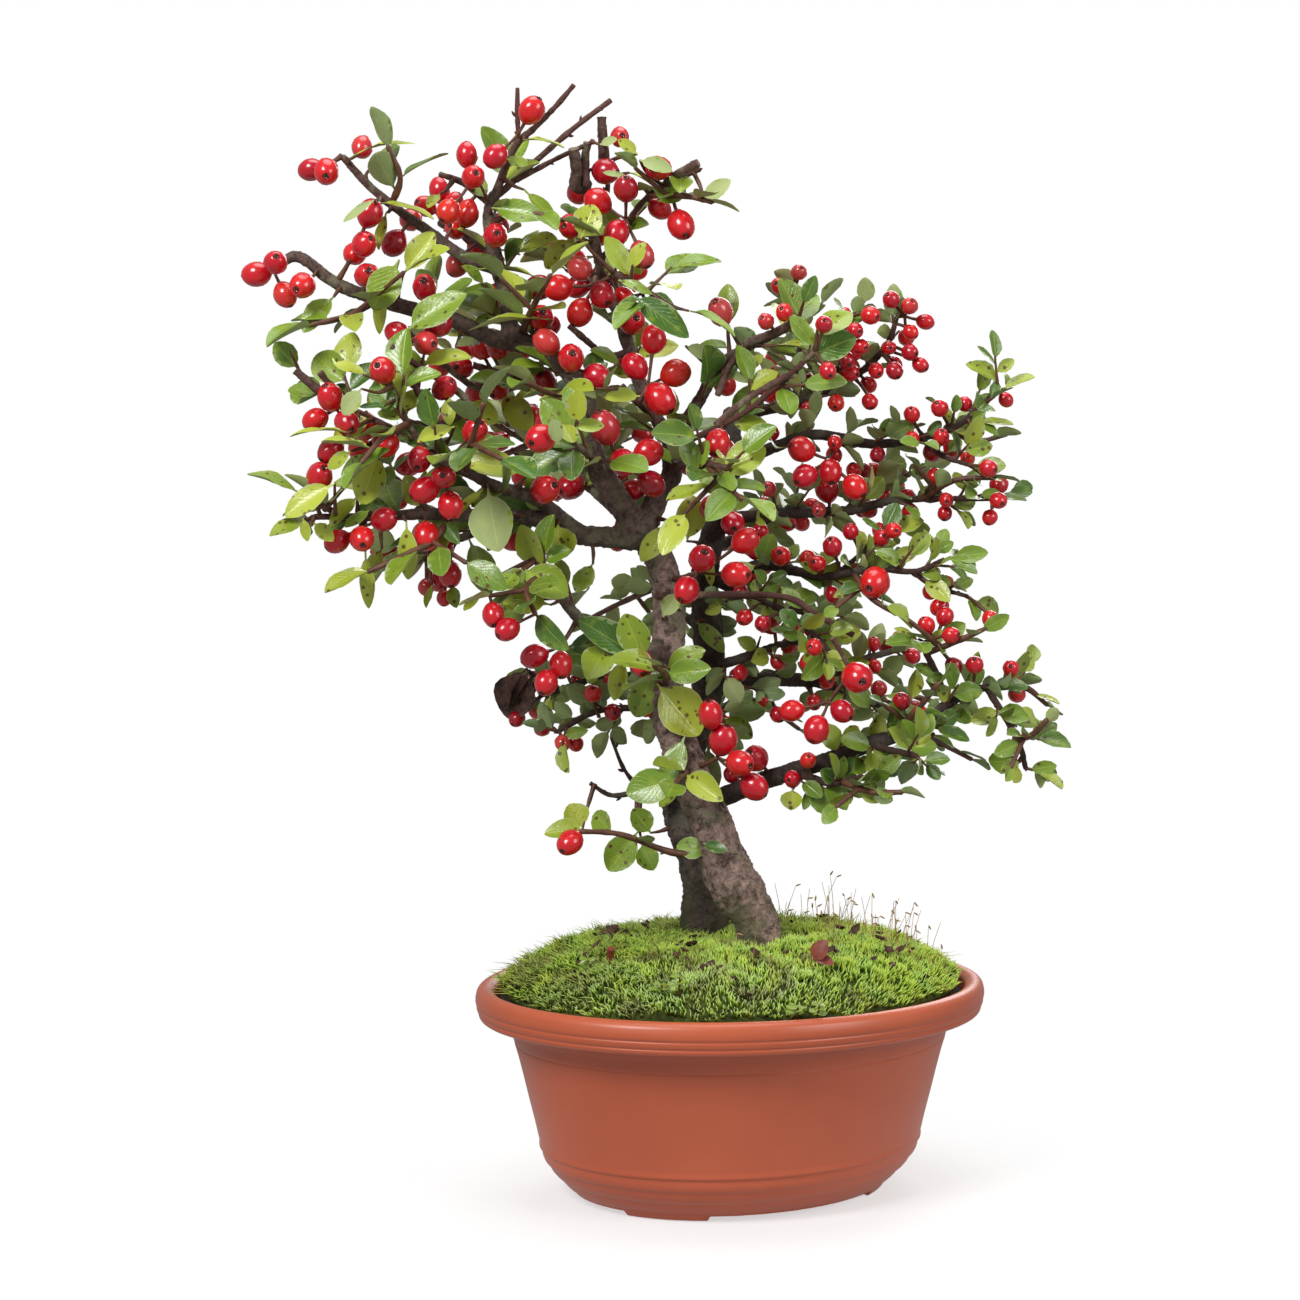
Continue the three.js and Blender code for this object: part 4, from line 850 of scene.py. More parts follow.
def draw_leaf(leaf_range, stem_points, seed, index, count, attempt):
    """One leaf's draw: where it sits on its stem, where it points and how its face lies."""
    follow = draws(seed * 10007 + index * 211 + attempt * 17 + 5)
    at_tip = index == count - 1
    place = (0.2 + 0.8 * (index / max(count - 1, 1))) * (len(stem_points) - 1)
    run = min(int(place), len(stem_points) - 2)
    tangent = unit(stem_points[run + 1] - stem_points[run])
    base = stem_points[run] + (stem_points[run + 1] - stem_points[run]) * (place - run)
    base = base - tangent * (TIP_INSET if at_tip else 0)
    level = UP if abs(tangent[2]) < 0.95 else np.array([0, 1.0, 0])
    sideways = unit(np.cross(tangent, level))
    upwards = np.cross(sideways, tangent)
    wide = 1 + 0.5 * attempt
    open_angle = 0.3 * wide * follow() if at_tip else mix(0.6, 1.25, follow())
    roll = mix(-0.5, 0.75, follow()) * wide
    hand = 1 if index % 2 == 0 else -1
    out = sideways * (hand * math.cos(roll)) + upwards * math.sin(roll)
    direction = unit(around(tangent, out, open_angle))
    outward = unit(base - CROWN_CENTRE)
    face = square_to(UP + outward * 0.75 + wander(follow) * 0.9, direction)
    length = mix(*leaf_range, follow())
    width = length * mix(0.5, 0.66, follow())
    return leaf(base, direction, face, length, width, mix(0.04, 0.26, follow()))


def leaf_tip(one):
    return one.base + one.along * one.length - one.face * (one.arch * one.length)


class Room:
    """What already fills the crown: berries as balls and leaves as rows of points."""

    def __init__(self):
        self.balls = []
        self.blades = []

    def ball(self, middle, radius):
        self.balls.append((*middle, radius))

    def samples(self, one):
        return [one.base + one.along * (one.length * share) - one.face * (one.arch * one.length * share ** 2)
                for share in (0.3, 0.6, 0.9)]

    def blade(self, one):
        self.blades += [(*place, one.width) for place in self.samples(one)]

    def all_clear(self, filled, places, reach):
        """Whether some places stay farther from what is filled than a reach that its own size gives."""
        if not filled:
            return True
        middles, sizes = np.array(filled)[:, :3], np.array(filled)[:, 3]
        return all((np.linalg.norm(middles - place, axis=1) > reach(sizes)).all() for place in places)

    def clear_of_berries(self, one, gap=0.6):
        return self.all_clear(self.balls, self.samples(one), lambda size: size + gap + one.width * 0.25)

    def clear_of_blades(self, one, share=0.22):
        return self.all_clear(self.blades, self.samples(one), lambda size: share * (size + one.width))

    def ball_fits(self, middle, radius, gap=-0.3):
        return self.all_clear(self.balls, [middle], lambda size: size + radius + gap)


room = Room()
LARGE_BERRY = 8
BERRY_HALF = 0.45
BERRY_CLEAR = 0.46
STALK_END = 0.44

# The bunches that the solids hold


def spread_apart(middles, lengths):
    """Moves the berries of a bunch apart until they hardly touch."""
    moved = [middle.copy() for middle in middles]
    for _ in range(12):
        for i in range(len(moved)):
            for j in range(i):
                run = moved[i] - moved[j]
                short = BERRY_SPACING * (lengths[i] + lengths[j]) / 2 - float(np.linalg.norm(run))
                if short > 0:
                    moved[i] = moved[i] + unit(run) * (short / 2)
                    moved[j] = moved[j] - unit(run) * (short / 2)
    return moved


def bunch_places(berries, shift):
    lengths = [berry[3] for berry in berries]
    middles = spread_apart([seen((x, z, depth + shift)) for x, z, depth, _ in berries], lengths)
    centre = sum(middles) / len(middles)
    root = bud_on(ALL_LIMBS, centre, centre)
    fork = root + (centre - root) * FORK_SHARE
    return root, fork, middles, lengths


def stalk_bend(start, finish, sag):
    """A slightly bent run between two places."""
    run = finish - start
    drop = np.array([0, 0, -1.0]) * float(np.linalg.norm(run)) * sag
    return [start, start + run * 0.5 + drop, finish]


BERRY_MATERIALS = [MATERIALS["berry"], MATERIALS["calyx"], MATERIALS["stem"]]


def make_bunch(name, berries, seed):
    tree = corner_tree(name)
    best = None
    for shift in DEPTH_TRIES:
        root, fork, middles, lengths = bunch_places(berries, shift)
        hits = sum(is_corner(tree, middle + unit(middle - fork) * (0.5 * size))
                   for middle, size in zip(middles, lengths))
        if best is None or hits > best[0]:
            best = (hits, root, fork, middles, lengths)
    _, root, fork, middles, lengths = best
    sheets = Sheets()
    into_bark = root - unit(fork - root) * (BUD_GAP + IN_BARK)
    tube(sheets, stalk_bend(into_bark, fork, 0.02), [1.1, 0.75, 0.8], 7, 5, 2, end=0.3)
    for k, (middle, size) in enumerate(zip(middles, lengths)):
        axis = unit(middle - fork)
        near = middle - axis * (STALK_END * size)
        tube(sheets, stalk_bend(fork, near, 0.04), [0.55, 0.5, 0.65], 6, 4, 2, end=0.2)
        sides, plump = (16, 0.98) if size > LARGE_BERRY else (12, 1.04)
        add_berry(sheets, middle, axis, size, seed * 20 + k, sides=sides, plump=plump)
        room.ball(middle, BERRY_HALF * size)
    put(sheets.build(f"fine_{name}", BERRY_MATERIALS), "berry", name)


for side, bunches, first_seed in (("front", FRONT_BUNCHES, 0), ("back", BACK_BUNCHES, 50)):
    for number, berries in enumerate(bunches, 1):
        make_bunch(f"{side}_berries_{number:02d}", berries, number + first_seed)

# The leafy shoots that the solids hold


STEM_LEAVES = (4, 2)
STEM_RADII = ([1.2, 0.8], [0.9, 0.7])


def shoot_stems(shoot):
    stems = []
    for i, points in enumerate(shoot.stems):
        places = [seen(point) for point in points]
        if i == 0:
            places[0] = bud_on(ALL_LIMBS, places[0], places[1])
        else:
            places[0] = nearest_on([stems[0]], places[0])[0]
        stems.append(limb_along(places, STEM_RADII[i], 3, len(places) - 1))
    return stems


shoot_limbs = []


def make_shoot(name, shoot, seed, tops, slot):
    tree = corner_tree(name)
    sheets = Sheets()
    leaves, missing = [], []
    for stem_index, (stem, count) in enumerate(zip(shoot_stems(shoot), STEM_LEAVES)):
        shoot_limbs.append(stem)
        points = list(stem.points)
        points[0] = points[0] - unit(points[1] - points[0]) * (BUD_GAP + IN_BARK)
        tube(sheets, points, stem.radii, 7, 6 * (len(points) - 1), 2, end=1.5, lumps=0.25,
             seed=seed * 5 + stem_index)
        for index in range(count):
            tries = [draw_leaf(shoot.leaf_range, stem.points, seed * 3 + stem_index, index, count, attempt)
                     for attempt in range(LEAF_TRIES)]
            found = next((one for one in tries if is_corner(tree, leaf_tip(one))), None)
            if found is None:
                missing.append(tries)
            else:
                leaves.append(found)
                room.blade(found)
    for tries in missing:
        extra = next((one for one in tries if room.clear_of_berries(one) and room.clear_of_blades(one)), None)
        if extra is not None:
            leaves.append(extra)
            room.blade(extra)
    for k, one in enumerate(leaves):
        add_leaf(sheets, one, seed * 40 + k)
    put(sheets.build(f"fine_{name}", [*tops, MATERIALS["stem"]]), slot, name)


LARGE_TOPS = [MATERIALS["large_top"], MATERIALS["large_under"]]
SMALL_TOPS = [MATERIALS["small_top"], MATERIALS["small_under"]]
for number, leafy in enumerate(FRONT_SHOOTS, 1):
    make_shoot(f"front_shoot_{number:02d}", leafy, number, LARGE_TOPS, "large_leaf")
for number, leafy in enumerate(BACK_SHOOTS, 1):
    make_shoot(f"back_shoot_{number:02d}", leafy, number + 100, SMALL_TOPS, "small_leaf")

# The wood of each tree: thick limbs grown together by a remesh, with twigs, buds and cut ends set into them.
THICK_FROM = 1.7
VOXEL = 0.74
BARK_SIDES = 16
TWIG_SIDES = 7
TWIG_RING = 1.6
BUD_SPACING = 7.0


def limb_length(one):
    return sum(float(np.linalg.norm(b - a)) for a, b in zip(one.points, one.points[1:]))


def thick_skin(limbs):
    """The thick limbs as overlapping fine tubes in one mesh, remeshed into one skin."""
    sheets = Sheets()
    for one in limbs:
        tube(sheets, one.points, one.radii, BARK_SIDES, max(4, int(limb_length(one) / 1.8)), end=0.6)
    rough = sheets.build("rough_limbs", [])
    remesh = rough.modifiers.new("grown", "REMESH")
    remesh.mode = "VOXEL"
    remesh.voxel_size = VOXEL * MM
    soften = rough.modifiers.new("soften", "SMOOTH")
    soften.factor = 0.5
    soften.iterations = 4
    evaluated = rough.evaluated_get(bpy.context.evaluated_depsgraph_get())
    mesh = evaluated.to_mesh()
    points, normals = np.empty((2, len(mesh.vertices) * 3))
    mesh.vertices.foreach_get("co", points)
    mesh.vertices.foreach_get("normal", normals)
    faces = [tuple(polygon.vertices) for polygon in mesh.polygons]
    evaluated.to_mesh_clear()
    bpy.data.objects.remove(rough)
    return (points.reshape(-1, 3) - POT_CENTRE) / MM, normals.reshape(-1, 3), faces


def axis_samples(limbs):
    """Places along the limbs' axes, with the direction, the radius and the run along the limb there."""
    samples = []
    for one in limbs:
        length = limb_length(one)
        steps = max(8, int(length))
        samples += [(centre, along, radius_at(one.radii, i / steps), i / steps * length)
                    for i, (centre, along, _, _) in enumerate(rings(one.points, steps))]
    return samples, tree_of([sample[0] for sample in samples])


def bark_relief(place, along, radius, run, knots):
    """How far the bark stands out at a place, in millimetres: furrows along the limb, rings and lumps."""
    flat = place - along * float(place @ along)
    furrow = noise.noise(Vector(flat * 0.62) + Vector(along) * (run * 0.07))
    ring = noise.noise(Vector((run * 0.85, place[0] * 0.12, place[2] * 0.05)))
    lump = noise.noise(Vector(place * 0.16))
    fine = noise.noise(Vector(place * 1.15))
    strength = min(1.0, radius / 6)
    height = strength * (0.55 * furrow + 0.55 * abs(ring) + 0.7 * lump + 0.4 * fine)
    for centre, reach, rise in knots:
        away = float(np.linalg.norm(place - centre)) / reach
        if away < 1.6:
            height += rise * (math.exp(-(away * 1.7) ** 2) - 0.55 * math.exp(-(away * 4.0) ** 2))
    return height


def twigs(sheets, limbs, seed):
    """Thin limbs as tubes with buds along them."""
    for k, one in enumerate(limbs):
        length = limb_length(one)
        steps = max(4, int(length / TWIG_RING))
        end, cut = (0.25, 1.0) if one.leafy == 0 else (1.6, 0.0)
        tube(sheets, one.points, one.radii, TWIG_SIDES, steps, end=end, lumps=0.3, seed=seed + k, cut=cut)
        follow = draws(seed * 7 + k)
        line = rings(one.points, steps)
        for b in range(int(length / BUD_SPACING)):
            ring = int((b + 0.5 + 0.4 * follow()) * BUD_SPACING / length * steps)
            centre, along, across, side = line[min(steps, ring)]
            out = unit(around(across, side, TURN * follow()) + along * 0.6)
            radius = radius_at(one.radii, min(1, (b + 0.5) * BUD_SPACING / length))
            size = mix(0.55, 0.95, follow())
            tube(sheets, [centre + out * radius * 0.3, centre + out * (radius + size * 0.7),
                          centre + out * (radius + size * 1.4) + along * size * 0.5],
                 [size * 0.75, size * 0.7, size * 0.25], 5, 3, end=1.2)


def make_wood(name, node_name, limbs, slot, seed, knots):
    knots = [(seen(place), reach, rise) for place, reach, rise in knots]
    points, normals, faces = thick_skin([one for one in limbs if max(one.radii) > THICK_FROM])
    samples, tree = axis_samples([one for one in limbs if max(one.radii) > THICK_FROM])
    places = np.zeros((len(points), 4))
    moved = points.copy()
    for i, point in enumerate(points):
        _, along, radius, run = samples[tree.find(Vector(point))[1]]
        moved[i] = point + normals[i] * bark_relief(point, along, radius, run, knots)
        places[i, 0] = min(radius / THICKEST, 1)
    sheets = Sheets()
    sheets.add(moved, faces, [0] * len(faces), places, np.zeros((len(points), 4)))
    twigs(sheets, [one for one in limbs if max(one.radii) <= THICK_FROM], seed)
    put(sheets.build(name, [MATERIALS[slot]]), slot, node_name)


# Knots and swellings of the trunks: a middle as seen, how far it reaches and how much it stands out.
FRONT_KNOTS = [
    ([-24, 154, -14], 5.5, 2.4), ([-9, 113, -20], 7, 2.8), ([2, 99, -24], 6, 2.2),
    ([-6, 103, -12], 6, 2.4), ([3, 121, -16], 4, 1.6), ([12, 84, -22], 5, 1.2), ([16, 90, -20], 3.5, 1.2),
    ([-17, 190, -8], 4, 1.2), ([-34, 214, -5], 6, 1.8), ([-26, 212, -6], 5, 1.4),
    ([-48, 248, -8], 4, 1.2), ([-72, 282, -2], 4, 1.2),
]
BACK_KNOTS = [
    ([-17, 92, 2], 4, 0.9), ([-15, 106, 6], 4, 1.0), ([-18, 126, 10], 5, 1.4), ([-2, 88, 2], 5, 0.8),
    ([-12, 152, 14], 4, 1.2), ([-9, 203, 22], 4, 1.2),
]

make_wood("front_wood", "front_trunk", FRONT_LIMBS, "front_bark", 301, FRONT_KNOTS)
make_wood("back_wood", "back_trunk", BACK_LIMBS, "back_bark", 401, BACK_KNOTS)

# The pot, turned about its middle and pressed to an oval
POT_SEGMENTS = 168
LATHE_BENDS = 2


def turned(x, y):
    """A place on the pot, turned with it about the upright."""
    return (x * math.cos(POT_TURN) - y * math.sin(POT_TURN), x * math.sin(POT_TURN) + y * math.cos(POT_TURN))


def oval(radius, angle):
    """A place on the turned oval, from a radius along its long axis and an angle; arrays work too."""
    short = radius - np.minimum(OVAL_DIFFERENCE, radius * 0.2)
    return turned(radius * np.cos(angle), short * np.sin(angle))


def rounded(profile, reach):
    """Rounds every corner of an outline over a short reach."""
    profile = [np.array(point, dtype=float) for point in profile]
    smooth = [profile[0]]
    for before, corner, after in zip(profile, profile[1:], profile[2:]):
        back, on = before - corner, after - corner
        start = corner + back * min(0.45, reach / max(np.linalg.norm(back), 1e-6))
        finish = corner + on * min(0.45, reach / max(np.linalg.norm(on), 1e-6))
        for i in range(LATHE_BENDS + 1):
            t = i / LATHE_BENDS
            smooth.append(start * (1 - t) ** 2 + corner * 2 * t * (1 - t) + finish * t ** 2)
    smooth.append(profile[-1])
    return smooth


def oval_lathe(sheets, profile, segments, lift=None):
    """Turns an outline that starts and ends on the axis into a closed oval form."""
    inside = profile[1:-1]
    angles = np.arange(segments) * 2 * math.pi / segments
    corners = []
    for radius, height in inside:
        x, y = oval(np.full(segments, radius), angles)
        z = np.full(segments, height)
        if lift is not None:
            z = z + lift(x, y, radius, height)
        corners.append(np.stack([x, y, z], axis=1))
    ends = np.array([[0, 0, profile[0][1]], [0, 0, profile[-1][1]]], dtype=float)
    if lift is not None:
        ends[1, 2] += float(lift(np.zeros(1), np.zeros(1), 0.0, profile[-1][1])[0])
    corners = np.concatenate([*corners, ends])
    faces = capped_faces(len(inside), segments)
    blank = np.zeros((len(corners), 4))
    sheets.add(corners, faces, [0] * len(faces), blank, blank)


POT_FOOT = 53.5
POT_WALL_FOOT = 66
POT_RIBS = 4


def pot_outline():
    """The outline of the pot from the middle of its underside, out, up, over the rim and down inside."""
    foot = [(0, 2), (49.5, 2), (49.5, 0), (POT_FOOT, 0)]
    ribs = []
    for i in range(POT_RIBS):
        share = (i + 1) / POT_RIBS
        height = mix(4, 17, i / (POT_RIBS - 1))
        inner = mix(POT_FOOT, POT_WALL_FOOT, math.sin((share - 0.5 / POT_RIBS) * math.pi / 2))
        outer = mix(POT_FOOT, POT_WALL_FOOT, math.sin(share * math.pi / 2))
        ribs += [(inner - 0.5, height - 1.35), (inner + 0.5, height - 0.8), (outer + 0.1, height + 1.0)]
    wall = [(67.6, 24.5), (69.5, 32), (71.3, 39.5), (73.1, 46.5), (74.3, 50.4), (74.15, 50.7), (74.4, 51.1),
            (75.5, 54.7), (76.8, 57.4), (77.3, 58.5)]
    lip = [(84.6, 58.5), (85.6, 58.9), (86.1, 60.1), (85.75, 60.6), (86.45, 61.2), (86.75, 62.6),
           (86.4, 63.1), (87, 63.7), (87, 65.3), (86.5, 67.4), (85.6, 68.4), (84.2, 69), (82.6, 68.7),
           (81, 67.6), (80.5, 67)]
    inner = [(79.4, 64), (76.6, 60), (74.8, 57.5), (63.8, 19), (52.5, 4.5), (0, 4.5)]
    return foot + ribs + wall + lip + inner


FOOT_NOTCHES = ((62, 140), (140, 34))
DRAIN_HOLES = ((-26, 0), (26, 0), (0, 18), (0, -18))
NOTCH_TOP = 1.8
DRAIN_RADIUS = 4
HOLE_SIDES = 24
SQUARE = ((-1, -1), (1, -1), (1, 1), (-1, 1))


def cutter(points, faces):
    mesh = bpy.data.meshes.new("cutter")
    mesh.from_pydata(metres(points), [], faces)
    return new_object("cutter", mesh)


def cutter_box(length, width):
    """A box for a notch in the foot, with slanted ends like a moulded one."""
    corners = [(*turned(x * length / 2 * spread, y * width / 2 * spread), z)
               for z, spread in ((-2, 1.0), (NOTCH_TOP, 0.985)) for x, y in SQUARE]
    return cutter(corners, [(0, 3, 2, 1), (4, 5, 6, 7), *grid_faces(2, 4, closed=True)])


def cutter_hole(x, y):
    middle = turned(x, y)
    angles = [2 * math.pi * k / HOLE_SIDES for k in range(HOLE_SIDES)]
    corners = [(middle[0] + DRAIN_RADIUS * math.cos(angle), middle[1] + DRAIN_RADIUS * math.sin(angle), z)
               for z in (-1, 8) for angle in angles]
    ends = [tuple(reversed(range(HOLE_SIDES))), tuple(range(HOLE_SIDES, 2 * HOLE_SIDES))]
    return cutter(corners, ends + grid_faces(2, HOLE_SIDES, closed=True))


def cut_away(piece, cutters):
    for cutting in cutters:
        cut = piece.modifiers.new("cut", "BOOLEAN")
        cut.operation = "DIFFERENCE"
        cut.solver = "EXACT"
        cut.object = cutting
    evaluated = piece.evaluated_get(bpy.context.evaluated_depsgraph_get())
    piece.data = bpy.data.meshes.new_from_object(evaluated)
    piece.modifiers.clear()
    for cutting in cutters:
        bpy.data.objects.remove(cutting)


def make_pot():
    sheets = Sheets()
    oval_lathe(sheets, rounded(pot_outline(), 0.55), POT_SEGMENTS)
    piece = sheets.build("pot_shell", [MATERIALS["pot"]])
    notches = [cutter_box(*notch) for notch in FOOT_NOTCHES]
    cut_away(piece, notches + [cutter_hole(*hole) for hole in DRAIN_HOLES])
    put(piece, "pot", "pot")


make_pot()

# Soil and moss follow one mound
SOIL_SEGMENTS = 220
SOIL_SMOOTH_BELOW = 60
BED_SEGMENTS = 190
BED_SUNK = 0.9


def relief(x, y):
    return np.sin(0.21 * x + 0.4) * np.cos(0.17 * y) + 0.6 * np.sin(0.11 * x - 0.23 * y + 1.2)


def mound(radius):
    """How much of the mound's rise is left at a radius."""
    return 1 - np.minimum(radius / POT_RIM_INNER, 1) ** MOUND_POWER


def soil_height(radius):
    return SOIL_EDGE_HEIGHT + SOIL_MOUND * mound(radius)


def moss_mound(radius):
    return MOSS_EDGE_HEIGHT + MOSS_MOUND * mound(radius)


def field(x, y, scale, seed=0.0):
    """Smooth noise over the ground, from -1 to 1."""
    places = zip(np.ravel(x) * scale, np.ravel(y) * scale)
    return np.array([noise.noise(Vector((px, py, seed))) for px, py in places])


def moss_height(radius, x, y):
    """The moss's upper side: the mound, its slow relief and its cushions."""
    lumps = 1.8 * field(x, y, 0.075, 3.0) + 1.3 * field(x, y, 0.19, 7.0) + 0.5 * field(x, y, 0.45, 5.0)
    return moss_mound(radius) + 0.9 * relief(x, y) + lumps


def soil_lift(x, y, radius, height):
    if height <= SOIL_SMOOTH_BELOW:
        return np.zeros(len(x))
    return 0.55 * field(x, y, 0.9, 2.0) + 0.5 * field(x, y, 0.35, 9.0)


def make_soil():
    side = [(0, 4.8), (51.9, 4.8), (63.1, 19.3), (74.0, 57.5), (77.6, 62.6)]
    top = [(radius, soil_height(radius)) for radius in (79.2, 78.4, 77.4, 76.2, 74, 70, 62, 50, 34, 16, 0)]
    sheets = Sheets()
    oval_lathe(sheets, side + top, SOIL_SEGMENTS, soil_lift)
    put(sheets.build("soil_fill", [MATERIALS["soil"]]), "soil", "soil")


def moss_lift(x, y, radius, height):
    top = moss_mound(radius)
    if height + BED_SUNK < top - 0.6:
        return np.zeros(len(x))
    return moss_height(radius, x, y) - top


def make_moss_bed():
    """The matted lower part of the moss, as one form on the soil."""
    under = [(radius, soil_height(radius) + 0.5) for radius in (0, 40, 60, 70, 75.5)]
    edge = [(77.2, soil_height(77.2) + 1.2), (77.5, 67.6)]
    over = [(radius, moss_mound(radius) - BED_SUNK) for radius in [76.6, 75.4, *np.arange(73.5, 0, -2.1), 0]]
    sheets = Sheets()
    oval_lathe(sheets, under + edge + over, BED_SEGMENTS, moss_lift)
    put(sheets.build("moss_bed", [MATERIALS["moss_bed"]]), "moss", "moss")


make_soil()
make_moss_bed()

# Trunks where they leave the ground: a middle and a reach, which the moss keeps clear of.
TRUNK_FEET = [(seen((9.5, 81, -18)), 7.6), (seen((-9, 80, 8)), 8.0)]


def quick_mesh(name, points, loops, sizes, places, tints, material):
    """A mesh from arrays: its corners, the corners of its faces in a row and the faces' sizes."""
    mesh = bpy.data.meshes.new(name)
    mesh.vertices.add(len(points))
    mesh.vertices.foreach_set("co", metres(points).ravel())
    mesh.loops.add(len(loops))
    mesh.loops.foreach_set("vertex_index", loops)
    mesh.polygons.add(len(sizes))
    starts = np.concatenate([[0], np.cumsum(sizes)[:-1]])
    mesh.polygons.foreach_set("loop_start", starts)
    mesh.polygons.foreach_set("loop_total", sizes)
    mesh.polygons.foreach_set("use_smooth", [True] * len(sizes))
    mesh.materials.append(material)
    keep_layers(mesh, places, tints)
    mesh.update(calc_edges=True)
    mesh.validate()
    return new_object(name, mesh)


BLADE_ANGLES = (0, 2.094, 4.189)
BLADE_CORNERS = 7


def tufted(name, spots, heights, radii, leans, bends, tints, material):
    """Upright three-sided blades of moss or grass, each bent over at its tip. The arguments are arrays with a
    row for each blade; spots are the blades' feet and leans their directions."""
    count = len(spots)
    helper = np.stack([np.cos(heights * 91.7), np.sin(heights * 91.7), np.zeros(count)], axis=1)
    across = np.cross(leans, helper)
    across /= np.linalg.norm(across, axis=1, keepdims=True)
    side = np.cross(leans, across)
    points, places = [], []
    for share, width in ((0.0, 1.0), (0.55, 0.8)):
        centre = spots + leans * (heights * share)[:, None] + bends * (share ** 2) * heights[:, None]
        for angle in BLADE_ANGLES:
            points.append(centre + around(across, side, angle) * (radii * width)[:, None])
            places.append((share, 0, 0, 0))
    points.append(spots + (leans + bends) * heights[:, None])
    places.append((1, 0, 0, 0))
    corners = np.stack(points, axis=1).reshape(-1, 3)
    place_rows = np.tile(places, (count, 1))
    tint_rows = np.repeat(tints, BLADE_CORNERS, axis=0)
    quads = np.array([[0, 1, 4, 3], [1, 2, 5, 4], [2, 0, 3, 5]])
    triangles = np.array([[3, 4, 6], [4, 5, 6], [5, 3, 6], [2, 1, 0]])
    each = np.concatenate([quads.ravel(), triangles.ravel()])
    loops = (np.arange(count)[:, None] * BLADE_CORNERS + each[None, :]).ravel()
    sizes = np.tile([4, 4, 4, 3, 3, 3, 3], count)
    return quick_mesh(name, corners, loops, sizes, place_rows, tint_rows, material)


def ground_spots(count, generator, reach=MOSS_REACH - 0.2):
    """Even random places over the moss, as x, y and the radius along the long axis, clear of the trunks."""
    radius = reach * np.sqrt(generator.random(count))
    angle = 2 * math.pi * generator.random(count)
    x, y = oval(radius, angle)
    clear = np.ones(count, dtype=bool)
    for foot, distance in TRUNK_FEET:
        clear &= np.hypot(x - foot[0], y - foot[1]) > distance
    return x[clear], y[clear], radius[clear]


def cushion_share(x, y):
    """Where fine bright cushion moss grows, near 1, rather than coarse turf, near 0."""
    return np.clip(0.5 + 0.022 * (x * 0.8 - (y + 12) * 1.0) + 0.75 * field(x, y, 0.03, 1.5)
                   + 0.3 * field(x, y, 0.1, 4.5), 0, 1)


def uphill(x, y, radius):
    """Directions that stand off the mound, leaning out over its edge."""
    steep = np.clip((radius / POT_RIM_INNER) ** 6, 0, 1)[:, None] * 1.1
    outward = np.stack([x, y, np.zeros(len(x))], axis=1)
    outward /= np.maximum(np.linalg.norm(outward, axis=1, keepdims=True), 1e-6)
    return outward * steep + UP


def grow_moss(name, count, seed, material, keep, length, thick, spread, curl):
    """One kind of moss: blades in small tufts, where keep says that it grows."""
    generator = np.random.default_rng(seed)
    x, y, radius = ground_spots(count, generator)
    wanted = keep(cushion_share(x, y), generator.random(len(x)))
    x, y, radius = x[wanted], y[wanted], radius[wanted]
    number = len(x)
    tuft = 0.45 + 1.1 * field(x, y, 0.4, 11.0)
    heights = mix(length[0], length[1], np.clip(0.45 * generator.random(number) + 0.7 * tuft, 0, 1))
    leans = uphill(x, y, radius)
    wobble = np.stack([field(x, y, 0.5, 21.0), field(x, y, 0.5, 31.0), np.zeros(number)], axis=1)
    leans = leans + spread * (generator.random((number, 3)) - 0.5) + spread * wobble
    leans[:, 2] = np.maximum(leans[:, 2], 0.25)
    leans /= np.linalg.norm(leans, axis=1, keepdims=True)
    bends = curl * (generator.random((number, 3)) - 0.5)
    bends[:, 2] = -0.2 * curl
    z = moss_height(radius, x, y) - BED_SUNK - 0.5
    spots = np.stack([x, y, z], axis=1)
    radii = thick * (0.75 + 0.5 * generator.random(number))
    dry = field(x, y, 0.11, 13.0) * 2.0 + 0.5 * generator.random(number) - 0.35 * x / MOSS_REACH
    bright = 0.4 + 1.7 * field(x, y, 0.16, 17.0) + 0.5 * (generator.random(number) - 0.5)
    bright = bright + 0.5 * x / MOSS_REACH
    frost = (-y - 38) / 22 * (0.3 + 0.7 * generator.random(number))
    tints = np.stack([np.clip(dry, 0, 1), np.clip(bright, 0, 1), np.clip(frost, 0, 0.75), 0 * x], axis=1)
    put(tufted(name, spots, heights, radii, leans, bends, tints, MATERIALS[material]), "moss")


grow_moss("moss_turf", 24000, 5, "moss_turf", lambda cushion, draw: draw > cushion * 1.1 - 0.05,
          (1.8, 5.8), 0.31, 1.1, 1.0)
grow_moss("moss_cushion", 31000, 6, "moss_cushion", lambda cushion, draw: draw < cushion,
          (1.8, 4.6), 0.29, 0.7, 0.3)
grow_moss("moss_grass", 2600, 7, "moss_turf", lambda cushion, draw: draw * 1.2 > cushion + 0.3,
          (4.5, 9.5), 0.2, 1.0, 1.5)

# The rest of the berries and leaves, on short spurs along the limbs

